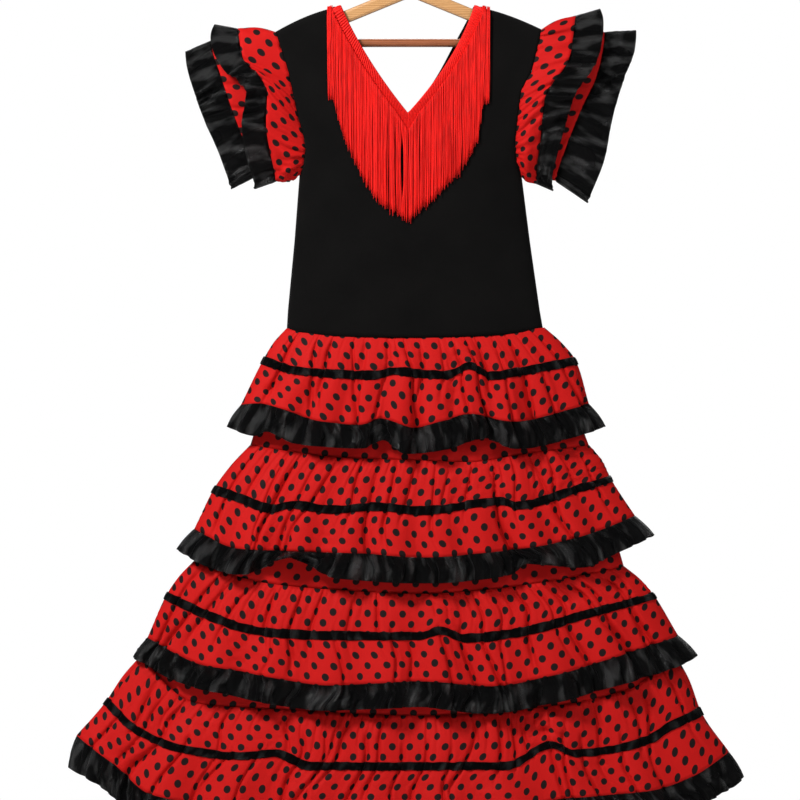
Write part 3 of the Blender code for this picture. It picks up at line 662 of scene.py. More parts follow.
def fold_line(k, s, side):
    """The CAD model's large folds, made smooth."""
    a, f = [-1.0], [0.0]
    for here, nxt in zip(FOLDS, FOLDS[1:] + (None,)):
        a.append(here[0])
        f.append(here[k][0])
        if nxt:
            a.append((here[0] + nxt[0]) / 2)
            f.append(-here[k][1])
    a, f = np.array(a + [1.0]), np.array(f + [0.0])
    if side == -1:
        a, f = -a[::-1], f[::-1]
    return pchip(a, f, s)


def even_columns(width, depth, count):
    """Places -1 to 1 that are evenly spaced along an oval row."""
    s = np.sin(np.linspace(-math.pi / 2, math.pi / 2, 2001))
    x, y = s * width, depth * np.sqrt(np.maximum(1 - s * s, 0))
    run = np.concatenate([[0], np.cumsum(np.hypot(np.diff(x), np.diff(y)))])
    return np.interp(np.linspace(0, run[-1], count), run, s)


H = 1.9          # column spacing in the cloth
ROW_H = 4.2      # row spacing
ITERS = 210
GATHER = {1: (1.26, 1.20), 2: (1.26, 1.19), 3: (1.26, 1.18), 4: (1.26, 1.17)}  # cloth per length, top and lower edge
RUFFLE_GATHER = {1: 1.20, 2: 1.19, 3: 1.19, 4: 1.18}  # more again in the ruffle
BASES = {1: (WAIST, SEAM2), 2: (SEAM2, SEAM3), 3: (SEAM3, SEAM4)}


def arc(P):
    return np.concatenate([[0], np.cumsum(np.linalg.norm(np.diff(P, axis=0), axis=1))])


def tier_targets(k, side, count):
    t = TIERS[k]
    D = DEPTH[k]
    width = (t["edge"][-1][0] - t["edge"][0][0]) / 2
    s = even_columns(width, D[3], count)
    f = fold_line(k, s, side)
    top = row_points(s, t["seam"], D[0] + (-0.9 if k == 1 else 0.9), side=side, drop=-1.3)
    if k == 4:      # the last seam runs up under the flounce above at its ends
        rise = np.clip((np.abs(s) - 0.84) / 0.16, 0, 1) ** 1.5
        top[:, 2] += 31 * rise
        top[:, 0] += 3 * rise * np.sign(s)
    rib = row_points(s, t["ribbon"], D[2], f, FOLD_GROWTH[2], side=side)
    left = top[0, 0] * 0.55 + rib[0, 0] * 0.45 - 3.0
    right = top[-1, 0] * 0.55 + rib[-1, 0] * 0.45 + 3.5
    belly = row_points(s, t["seam"], D[1], f, FOLD_GROWTH[1], ends=(left, right), side=side)
    belly[:, 2] = top[:, 2] * 0.55 + rib[:, 2] * 0.45
    low = row_points(s, t["edge"], D[3], f, FOLD_GROWTH[3], side=side)
    h1 = (top[:, 2] - rib[:, 2]).mean()
    h2 = (rib[:, 2] - low[:, 2]).mean()
    vr = h1 / (h1 + h2)
    rows = max(int(round((h1 + h2) * 1.06 / ROW_H)), 8)
    v = np.linspace(0, 1, rows + 1)
    T = pchip(np.array([0, 0.45 * vr, vr, 1.0]), np.stack([top, belly, rib, low]), v)
    return s, v, vr, T


def trough_set(v, u, seed, every, deep, wide, reach, lean, rising=0.0):
    """Soft troughs, uneven in place, depth, width, length and slant; reach is
    the shortest and longest, and a share of them rises from the lower edge."""
    rng = np.random.default_rng(seed)
    out = np.zeros((len(v), len(u)))
    V = v[:, None]
    x = rng.uniform(0, every[1])
    while x < u[-1]:
        d, w = rng.uniform(*deep), rng.uniform(*wide)
        slant, bow = rng.normal(0, lean), rng.normal(0, lean * 0.6)
        end = reach[0] + (reach[1] - reach[0]) * rng.random() ** 1.4
        vv = 1 - V if rng.random() < rising else V
        fade = np.clip((end + 0.12 - vv) / 0.24, 0, 1)
        fade = fade * fade * (3 - 2 * fade)
        off = (u[None] - x - slant * V - bow * V * V) / (w * (0.7 + 0.6 * vv))
        out -= d * fade * np.exp(-off * off) * (0.45 + 0.55 * np.clip(vv * 4, 0, 1))
        x += rng.uniform(*every)
    return out


def gather_start(v, vr, u, seed):
    """Where the folds begin: puckers at the seam, and long uneven troughs."""
    long = trough_set(v, u, seed, (22, 44), (4.0, 9.0), (2.8, 5.2), (0.5, 1.25), 15, 0.35)
    short = trough_set(v, u, seed + 1, (13, 28), (2.5, 5.0), (2.0, 3.2), (0.10, 0.35), 5)
    pinch = np.abs(v - vr)[:, None]
    near = trough_set(np.clip(pinch / 0.5, 0, 1)[:, 0], u, seed + 2, (15, 36), (2.5, 4.5), (2.0, 3.4), (0.05, 0.3), 4)
    a = np.exp(-v / 0.05)[:, None]
    fine = 1.0 * a * np.sin(2 * math.pi * u[None] / 9.5 + 3.0 * noise1(u, 30, seed + 1)[None])
    broad = 1.6 * noise1(u, 60, seed + 4, 2)[None] * np.clip(v * 2, 0, 1)[:, None]
    out = long + short + near + fine + broad + 1.6
    taper = np.minimum(np.minimum(u, u[::-1]) / 16.0, 1)
    return out * taper


def take_up(T, N, start, h_rows, most=1.9):
    """Lets the troughs take up the spare cloth, so the cloth between them lies
    flat at its full width. The troughs deepen or ease until it all fits."""
    R, C = T.shape[:2]
    run = np.concatenate([np.zeros((R, 1)), np.cumsum(np.linalg.norm(np.diff(T, axis=1), axis=2), axis=1)], axis=1)
    dw = np.diff(start, axis=1)
    need = run[:, -1] / (C - 1)
    low, high = np.full(R, 0.1), np.full(R, most)
    for _ in range(14):
        k = (low + high) / 2
        adv = np.sqrt(np.maximum(h_rows[:, None] ** 2 - (dw * k[:, None]) ** 2, (0.22 * h_rows[:, None]) ** 2))
        over = adv.mean(axis=1) > need
        low, high = np.where(over, k, low), np.where(over, high, k)
    for _ in range(6):
        k[1:-1] = 0.25 * k[:-2] + 0.5 * k[1:-1] + 0.25 * k[2:]
    adv = np.sqrt(np.maximum(h_rows[:, None] ** 2 - (dw * k[:, None]) ** 2, (0.22 * h_rows[:, None]) ** 2))
    share = np.concatenate([np.zeros((R, 1)), np.cumsum(adv, axis=1)], axis=1)
    share /= share[:, -1:]
    for _ in range(16):     # neighbouring rows of cloth slide past each other only a little
        share[1:-1] = 0.25 * share[:-2] + 0.5 * share[1:-1] + 0.25 * share[2:]
        share[0] = 0.6 * share[0] + 0.4 * share[1]
        share[-1] = 0.6 * share[-1] + 0.4 * share[-2]
    share = 0.85 * share + 0.15 * np.linspace(0, 1, C)[None]
    T2, N2 = np.empty_like(T), np.empty_like(N)
    for r in range(R):
        at = share[r] * run[r, -1]
        for i in range(3):
            T2[r, :, i] = np.interp(at, run[r], T[r, :, i])
            N2[r, :, i] = np.interp(at, run[r], N[r, :, i])
    return T2, unit(N2), start * k[:, None], share


TIER_GRIDS = {}


def close_side(P, side, gap=0.02):
    """Front and back come together at the side seam."""
    P = P.copy()
    first, last = (-side * P[:, c, 1] - gap for c in (0, -1))
    for j, share in enumerate((1.0, 0.66, 0.33)):
        P[:, j, 1] += side * first * share
        P[:, -1 - j, 1] += side * last * share
    return P


def make_tier(k, face):
    side = 1 if face == "front" else -1
    t = TIERS[k]
    lower = row_points(np.linspace(-1, 1, 400), t["edge"], DEPTH[k][3],
                       fold_line(k, np.linspace(-1, 1, 400), side), 1.0, side=side)
    cloth_w = arc(lower)[-1] * GATHER[k][1]
    count = int(cloth_w / H) | 1
    h = cloth_w / (count - 1)
    s, v, vr, T = tier_targets(k, side, count)
    N = level_normals(T, side)
    N[:, 0], N[:, -1] = (-1, 0, 0), (1, 0, 0)
    seed = 100 * k + (0 if side == 1 else 50)
    start = gather_start(v, vr, np.arange(count) * h, seed)
    knots = [0, 0.08, 0.4 * vr, vr, 0.5 * (1 + vr), 1.0]
    rnd = np.sqrt(np.maximum(1 - s * s, 0))[None]
    c_in = pchip(knots, [0.2, 1.6, 8.0, 6.0, 12.0, 13.0], v)[:, None] * (0.4 + 0.6 * rnd)
    c_out = pchip(knots, [1.6, 2.2, 2.6, 1.9, 3.2, 3.8], v)[:, None] * (0.5 + 0.5 * rnd)
    if k == 1:      # the bodice's hem lies over the first rows
        start[:2] = np.minimum(start[:2], 0.0)
        start[2] = np.minimum(start[2], 0.8)
        c_out[:2] = 0.05
    across = np.linalg.norm(np.diff(T, axis=1), axis=2).sum(axis=1) / (count - 1)
    h_rows = across * np.interp(v, [0, 0.5, 1], [GATHER[k][0], 0.35 * GATHER[k][0] + 0.65 * GATHER[k][1], GATHER[k][1]])
    pins = [(0, slice(None)), (slice(None), 0), (slice(None), -1)]
    bend = np.clip((v - 0.03) / 0.30, 0.06, 1.0) * (1 - 0.35 * np.exp(-((v - vr) / 0.04) ** 2))
    T, N, start, share = take_up(T, N, start, h_rows)
    s = np.interp(share[-1], np.linspace(0, 1, count), s)
    P = relax(T, N, h_rows, pins, c_in, c_out, start, ITERS // 3, bend=bend, hold=(0.35, 0.35))
    uv = np.stack([((np.arange(count) - count / 2)[None] * h_rows[:, None]) * MM + 1.0 + 0.0371 * k + 0.011 * side,
                   np.repeat((-v * (T[0, :, 2] - T[-1, :, 2]).mean() * 1.03 * MM)[:, None], count, axis=1)], axis=-1)
    name = f"cloth_tier{k}_{face}"
    out = np.zeros_like(P)
    out[..., 1] = -side
    ob = sheet_mesh(name, close_side(P, side), uv, 0.7, "dotted_crepe", N)
    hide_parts(f"tier{k}_{face}")
    length = np.linalg.norm(np.diff(P, axis=0), axis=2).sum(axis=0).mean()
    declare(P, width=h * (count - 1), length=length)
    TIER_GRIDS[(k, face)] = (P, N, v, vr, h, s)
    # the ribbon follows the tier's own points, moved out
    rows = []
    run = np.concatenate([[0], np.cumsum(np.linalg.norm(np.diff(T, axis=0), axis=2).mean(axis=1))])
    mid = np.interp(vr, v, run)
    off = np.array([-5.1, -4.7, -1.6, 1.6, 4.7, 5.1])
    lift = np.array([0.45, 1.0, 1.25, 1.25, 1.0, 0.45])
    n = surface_normals(P)
    n = n if (n * N).sum() > 0 else -n
    smooth = P.copy()
    for _ in range(2):
        smooth[:, 1:-1] = smooth[:, :-2] * 0.25 + smooth[:, 1:-1] * 0.5 + smooth[:, 2:] * 0.25
    for o, lf in zip(off, lift):
        q = np.interp(mid + o, run, np.arange(len(run)))
        i = min(int(q), len(run) - 2)
        f = q - i
        a = P[i] * (1 - f) + P[i + 1] * f
        b = smooth[i] * (1 - f) + smooth[i + 1] * f
        nn = unit(n[i] * (1 - f) + n[i + 1] * f)
        sm = ((b - a) * N[i]).sum(-1, keepdims=True)
        base = a + N[i] * np.maximum(sm, 0)
        rows.append(base + nn * (0.35 + lf) + N[i] * 0.3)
    Q = np.array(rows)
    um = np.arange(count) * h
    wob = 0.55 * noise1(um, 16, seed + 7, 2)[None] + 0.07 * off[:, None] * noise1(um, 11, seed + 8, 2)[None] * 2.2
    Q[..., 2] += wob * np.minimum(np.minimum(um, um[::-1]) / 12, 1)[None]
    u = np.arange(count) * h * MM
    uvr = np.stack(np.meshgrid(u + 0.21 * k, off * MM), axis=-1)
    Q = close_side(Q, side)
    rb = sheet_mesh(f"cloth_ribbon{k}_{face}", Q, uvr, 0.45, "satin_ribbon", N[:6])
    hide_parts(f"ribbon{k}_{face}")
    declare(Q)


def make_hem(k, face):
    side = 1 if face == "front" else -1
    P0, N0, v0, vr0, h0, s0 = TIER_GRIDS[(k, face)]
    low = P0[-1]
    cloth_w = h0 * (len(low) - 1) * RUFFLE_GATHER[k]
    count = int(cloth_w / (H * 0.95)) | 1
    h = cloth_w / (count - 1)
    run = arc(low)
    even = np.linspace(0, run[-1], count)
    top = np.stack([np.interp(even, run, low[:, i]) for i in range(3)], axis=-1)
    s = np.interp(even, run, s0)
    f = fold_line(k, s, side)
    hem = row_points(s, TIERS[k]["ruffle"], DEPTH[k][4], f, FOLD_GROWTH[4], side=side)
    # the ruffle's own flutes keep some of the tier's fold at its head
    plain = row_points(s, TIERS[k]["edge"], DEPTH[k][3], f, FOLD_GROWTH[3], side=side)
    hem = hem + (top - plain) * np.array([0.75, 0.75, 0.15])
    hem[0] = row_points(s[:1], TIERS[k]["ruffle"], DEPTH[k][4], side=side)[0]
    hem[-1] = row_points(s[-1:], TIERS[k]["ruffle"], DEPTH[k][4], side=side)[0]
    drop = np.linalg.norm(hem - top, axis=1).mean()
    rows = max(int(round(drop / (3.4))), 4)
    v = np.linspace(0, 1, rows + 1)
    bulge = np.sin(v * math.pi) * 2.0
    N = level_normals(np.stack([plain, hem]), side)[1]
    N[0], N[-1] = (-1, 0, 0), (1, 0, 0)
    T = top[None] * (1 - v)[:, None, None] + hem[None] * v[:, None, None]
    T = T + N[None] * bulge[:, None, None]
    Nn = np.repeat(N[None], rows + 1, axis=0)
    seed = 700 + 10 * k + (0 if side == 1 else 5)
    u = np.arange(count) * h
    start = (trough_set(v, u, seed, (14, 36), (5.5, 11.0), (3.0, 7.0), (0.7, 1.2), 4, 0.0)
             + trough_set(1 - v, u, seed + 1, (12, 30), (2.0, 5.0), (3.0, 6.0), (0.3, 0.9), 4)
             + trough_set(v, u, seed + 2, (7, 15), (0.5, 1.2), (1.6, 2.6), (0.05, 0.3), 2)
             + 3.5 * noise1(u, 42, seed + 3, 2)[None] * v[:, None] + 1.8 * v[:, None])
    taper = np.minimum(np.minimum(np.arange(count), np.arange(count)[::-1]) * h / 14.0, 1)
    start *= taper
    c_in = np.interp(v, [0, 0.3, 1], [0.2, 3.5, 8.0])
    c_out = np.interp(v, [0, 0.3, 1], [0.9, 3.5, 7.5])
    pins = [(0, slice(None)), (slice(None), 0), (slice(None), -1)]
    bend = np.clip(v / 0.4, 0.08, 0.8)
    # at its seam the ruffle keeps to the tier's own points
    T2, N2, start2, _ = take_up(T, Nn, start, np.full(rows + 1, h))
    w = np.clip(v / 0.6, 0, 1)[:, None]
    T = T * (1 - w[..., None]) + T2 * w[..., None]
    Nn = Nn * (1 - w[..., None]) + N2 * w[..., None]
    Nn = Nn / np.linalg.norm(Nn, axis=2, keepdims=True)
    start = start * (1 - w) + start2 * w
    T[0], start[0] = top, 0
    P = relax(T, Nn, h, pins, c_in, c_out, start, ITERS // 3, bend=bend, hold=(0.30, 0.30))
    uv = np.stack(np.meshgrid(u * MM, -v * drop * MM), axis=-1)
    name = f"cloth_hem{k}_{face}"
    ob = sheet_mesh(name, close_side(P, side), uv, 0.6, "black_satin", Nn)
    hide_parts(f"hem{k}_{face}")
    declare(P, width=cloth_w, length=drop * 1.05)


def make_base(k, face):
    side = 1 if face == "front" else -1
    top_t, low_t = BASES[k]
    d0, d1 = DEPTH[k][0], DEPTH[k + 1][0]
    width = (low_t[-1][0] - low_t[0][0]) / 2
    count = int(arc(row_points(np.linspace(-1, 1, 300), low_t, d1))[-1] / (4.0))
    s = even_columns(width, d1, count)
    top = row_points(s, top_t, d0 - (3.6 if k == 1 else 0.0), side=side, drop=-0.8)
    low = row_points(s, low_t, d1, side=side)
    v = np.linspace(0, 1, 26)
    P = top[None] * (1 - v)[:, None, None] + low[None] * v[:, None, None]
    N = level_normals(P, side)
    N[:, 0], N[:, -1] = (-1, 0, 0), (1, 0, 0)
    u = arc(low)
    wave = 0.9 * noise1(u, 26, 40 + k, 3) + 0.5 * noise1(u, 11, 60 + k, 2)
    taper = np.minimum(np.minimum(np.arange(count), np.arange(count)[::-1]) / 6.0, 1)
    P = P + N * (wave * taper)[None, :, None] * (0.15 + 0.85 * v ** 2)[:, None, None]
    uv = np.stack(np.meshgrid(u * MM + 0.11 * k, -v * np.linalg.norm(low - top, axis=1).mean() * MM), axis=-1)
    name = f"cloth_base{k}_{face}"
    P = close_side(P, side)
    ob = sheet_mesh(name, P, uv, 0.7, "dotted_crepe", N)
    if k == 1:
        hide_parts(f"base{k}_{face}")
    else:
        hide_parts(f"base{k}_{face}", f"base{k}_{face}_left", f"base{k}_{face}_right")
    declare(P)


# ---------------------------------------------------------------- bodice
def shoulder_line(x):
    x = np.asarray(x, float)
    left = SHOULDER_Z[0] + (NECK_L[1] - SHOULDER_Z[0]) * (x + 163.0) / (NECK_L[0] + 163.0)
    right = SHOULDER_Z[1] + (NECK_R[1] - SHOULDER_Z[1]) * (x - 157.0) / (NECK_R[0] - 157.0)
    tl = np.clip((x + 163.0) / (NECK_L[0] + 163.0), 0, 1)
    tr = np.clip((x - 157.0) / (NECK_R[0] - 157.0), 0, 1)
    return np.where(x < APEX[0], left + 15.0 * tl * (1 - tl), right + 11.0 * tr * (1 - tr))


def bodice_x(s, z):
    left, right = down(BODICE, z, 1), down(BODICE, z, 2)
    return left + (right - left) * (s + 1) / 2


def bodice_depth(s, z, x):
    edge, centre = down(BODICE, z, 4), down(BODICE, z, 3)
    depth = edge + np.maximum(centre - edge, 0) * np.sqrt(np.maximum(1 - s * s, 0))
    h = np.clip((shoulder_line(x) - z) / FOLD_R, 0, 1)
    return depth * np.sqrt(h * (2 - h))


def neck_z(s):
    low = np.full(np.shape(s), float(APEX[1]))
    high = np.full(np.shape(s), float(NECK_L[1]))
    for _ in range(40):
        z = (low + high) / 2
        x = bodice_x(s, z)
        side_x = np.where(x < APEX[0], NECK_L[0], NECK_R[0])
        line = APEX[1] + (NECK_L[1] - APEX[1]) * (x - APEX[0]) / (side_x - APEX[0])
        above = z > line
        low, high = np.where(above, low, z), np.where(above, z, high)
    return z


S_NECK_L = 2 * (NECK_L[0] + 163) / 320 - 1
S_NECK_R = 2 * (NECK_R[0] + 163) / 320 - 1


def bow(x, z):
    """How far a place near the V is carried out with its bowed edge."""
    x, z = np.asarray(x, float), np.asarray(z, float)
    q = np.clip((z - APEX[1]) / (NECK_L[1] - APEX[1]), 0, 1)
    left = x < APEX[0]
    line = APEX[0] + (np.where(left, NECK_L[0], NECK_R[0]) - APEX[0]) * q
    return np.where(left, -BOW[0], BOW[1]) * 4 * q * (1 - q) * np.exp(-((x - line) / 45) ** 2)


def before_bow(x, z):
    u = x
    for _ in range(6):
        u = x - bow(u, z)
    return u


def surface_out(x, z, out, side=1):
    """A point on the bodice moved out along its turn over the shoulder."""
    x, z = np.asarray(x, float), np.asarray(z, float)
    left, right = down(BODICE, z, 1), down(BODICE, z, 2)
    s = np.clip(2 * (x - left) / (right - left) - 1, -1, 1)
    k = np.clip((shoulder_line(x) - z) / FOLD_R, 0, 1)
    ny, nz = np.sqrt(k * (2 - k)), 1 - k
    y = -(bodice_depth(s, z, x) + 0.2) - out * ny
    return np.stack([x + bow(x, z), side * y, z + out * nz], axis=-1)


def make_bodice(face):
    side = 1 if face == "front" else -1
    n = 1
    parts = [np.linspace(-1, S_NECK_L, 20 // n + 2), np.linspace(S_NECK_L, 0.0, 32 // n + 2)[1:],
             np.linspace(0.0, S_NECK_R, 32 // n + 2)[1:], np.linspace(S_NECK_R, 1, 20 // n + 2)[1:]]
    s = np.concatenate(parts)
    x_top = bodice_x(s, -130.0)
    top = np.where((s <= S_NECK_L + 1e-9) | (s >= S_NECK_R - 1e-9), shoulder_line(x_top), neck_z(s))
    foot = along(WAIST, bodice_x(s, -512.0)) - 1.0
    rows = np.concatenate([[0, 0.0015, 0.004, 0.008, 0.013, 0.019, 0.027, 0.04], np.linspace(0.055, 1, 56 // n)])
    Z = top[None] + (foot - top)[None] * rows[:, None]
    S = np.repeat(s[None], len(rows), axis=0)
    X = bodice_x(S, Z)
    if face == "back":
        # the back neckline is cut a little closer on one side
        lean = np.exp(-((X - 47) / 24) ** 2) * np.exp(-((Z - top[None]) / 40) ** 2)
        X = X - 4.6 * lean * ((S > 0.02) & (S < S_NECK_R))
    Y = bodice_depth(S, Z, X) + 0.2
    # soft hanging creases, from the shoulders and across the waist
    wr = (0.8 * np.sin(X / 21.0 + (Z + 300) / 60.0) * np.exp(-((Z + 470) / 90) ** 2)
          + 0.7 * np.sin((X * 0.6 + Z) / 19.0) * np.exp(-((np.abs(X) - 110) / 40) ** 2) * np.exp(-((Z + 310) / 70) ** 2))
    rnd = np.sqrt(np.maximum(1 - S * S, 0)) * np.clip((shoulder_line(X) - Z) / 30, 0, 1)
    Y = Y + wr * rnd * (0.9 if face == "front" else 0.8)
    P = np.stack([X + bow(X, Z), -side * Y, Z], axis=-1)
    N = np.zeros_like(P)
    N[..., 1] = -side
    u = np.cumsum(np.concatenate([[0], np.diff(bodice_x(s, -400.0))]))
    uv = np.stack([np.repeat(u[None], len(rows), axis=0) * MM, Z * MM], axis=-1)
    ob = sheet_mesh(f"cloth_bodice_{face}", P, uv, 1.3, "black_jersey", N)
    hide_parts(f"bodice_{face}")
    declare(P, width=322, length=400)


# ---------------------------------------------------------------- sleeves
BODICE_ROWS = (0, 0.009, 0.024, 0.13, 0.25, 0.38, 0.482)


def arm_ring(sign):
    s = float(sign)
    top = float(shoulder_line(bodice_x(s, -130.0)))
    foot = float(along(WAIST, np.array([bodice_x(s, -512.0)]))[0])
    z = top + (foot - top) * np.array(BODICE_ROWS)
    x = bodice_x(s, z)
    y = bodice_depth(np.full(len(z), s), z, x)
    y[0] = y[-1] = 0
    return np.stack([x, -y, z], axis=-1)


def arm_curve(sign, per, inset):
    """The armhole itself, sampled closely between the knots' shares."""
    s = float(sign)
    top = float(shoulder_line(bodice_x(s, -130.0)))
    foot = float(along(WAIST, np.array([bodice_x(s, -512.0)]))[0])
    share = []
    for i, (a, b) in enumerate(zip(BODICE_ROWS, BODICE_ROWS[1:])):
        share.append(a + (b - a) * np.arange(per[i]) / per[i])
    down_ = np.concatenate(share + [[BODICE_ROWS[-1]]])
    n = len(BODICE_ROWS) - 1
    up_ = []
    for i in range(n):
        a, b = BODICE_ROWS[n - i], BODICE_ROWS[n - i - 1]
        up_.append(a + (b - a) * np.arange(per[n + i]) / per[n + i])
    up_ = np.concatenate(up_)
    q = np.concatenate([down_[:-1], up_])
    z = top + (foot - top) * q
    z0 = np.clip(z, foot, top - 0.01)
    x = bodice_x(s, z0)
    y = bodice_depth(np.full(len(z), s), z0, x)
    y = np.minimum(y, 60) * np.where(q >= BODICE_ROWS[-1] - 1e-9, 0, 1)
    face = np.where(np.arange(len(q)) < len(down_) - 1, -1.0, 1.0)
    pts = np.stack([x + sign * 0.25, face * np.maximum(y - inset, 0), z], axis=-1)
    if inset:
        mid = (z[0] + z.min()) / 2
        pts[:, 2] += np.where(pts[:, 2] > mid, -1, 1) * np.minimum(np.abs(pts[:, 2] - mid) / 40, 1) ** 3 * inset
    return pts


def ring_from(table):
    t = np.array(table, float)
    return np.stack([t[:, 0], -t[:, 2], t[:, 1]], axis=-1)


def ring_spline(front, per):
    """A smooth closed ring through a front run of points and its mirror at the back."""
    back = front[1:-1][::-1] * np.array([1, -1, 1])
    k = np.concatenate([front, back])
    n = len(k)
    out = []
    for i in range(n):
        p0, p1, p2, p3 = k[i - 1], k[i], k[(i + 1) % n], k[(i + 2) % n]
        d1 = max(np.linalg.norm(p2 - p1), 1e-6)
        d0 = max(np.linalg.norm(p1 - p0), 1e-6)
        d2 = max(np.linalg.norm(p3 - p2), 1e-6)
        m1 = ((p2 - p1) / d1 * d0 + (p1 - p0) / d0 * d1) / (d0 + d1) * d1
        m2 = ((p2 - p1) / d1 * d2 + (p3 - p2) / d2 * d1) / (d1 + d2) * d1
        t = (np.arange(per[i]) / per[i])[:, None]
        out.append((1 + 2 * t) * (1 - t) ** 2 * p1 + t * (1 - t) ** 2 * m1
                   + t * t * (3 - 2 * t) * p2 + t * t * (t - 1) * m2)
    return np.concatenate(out)


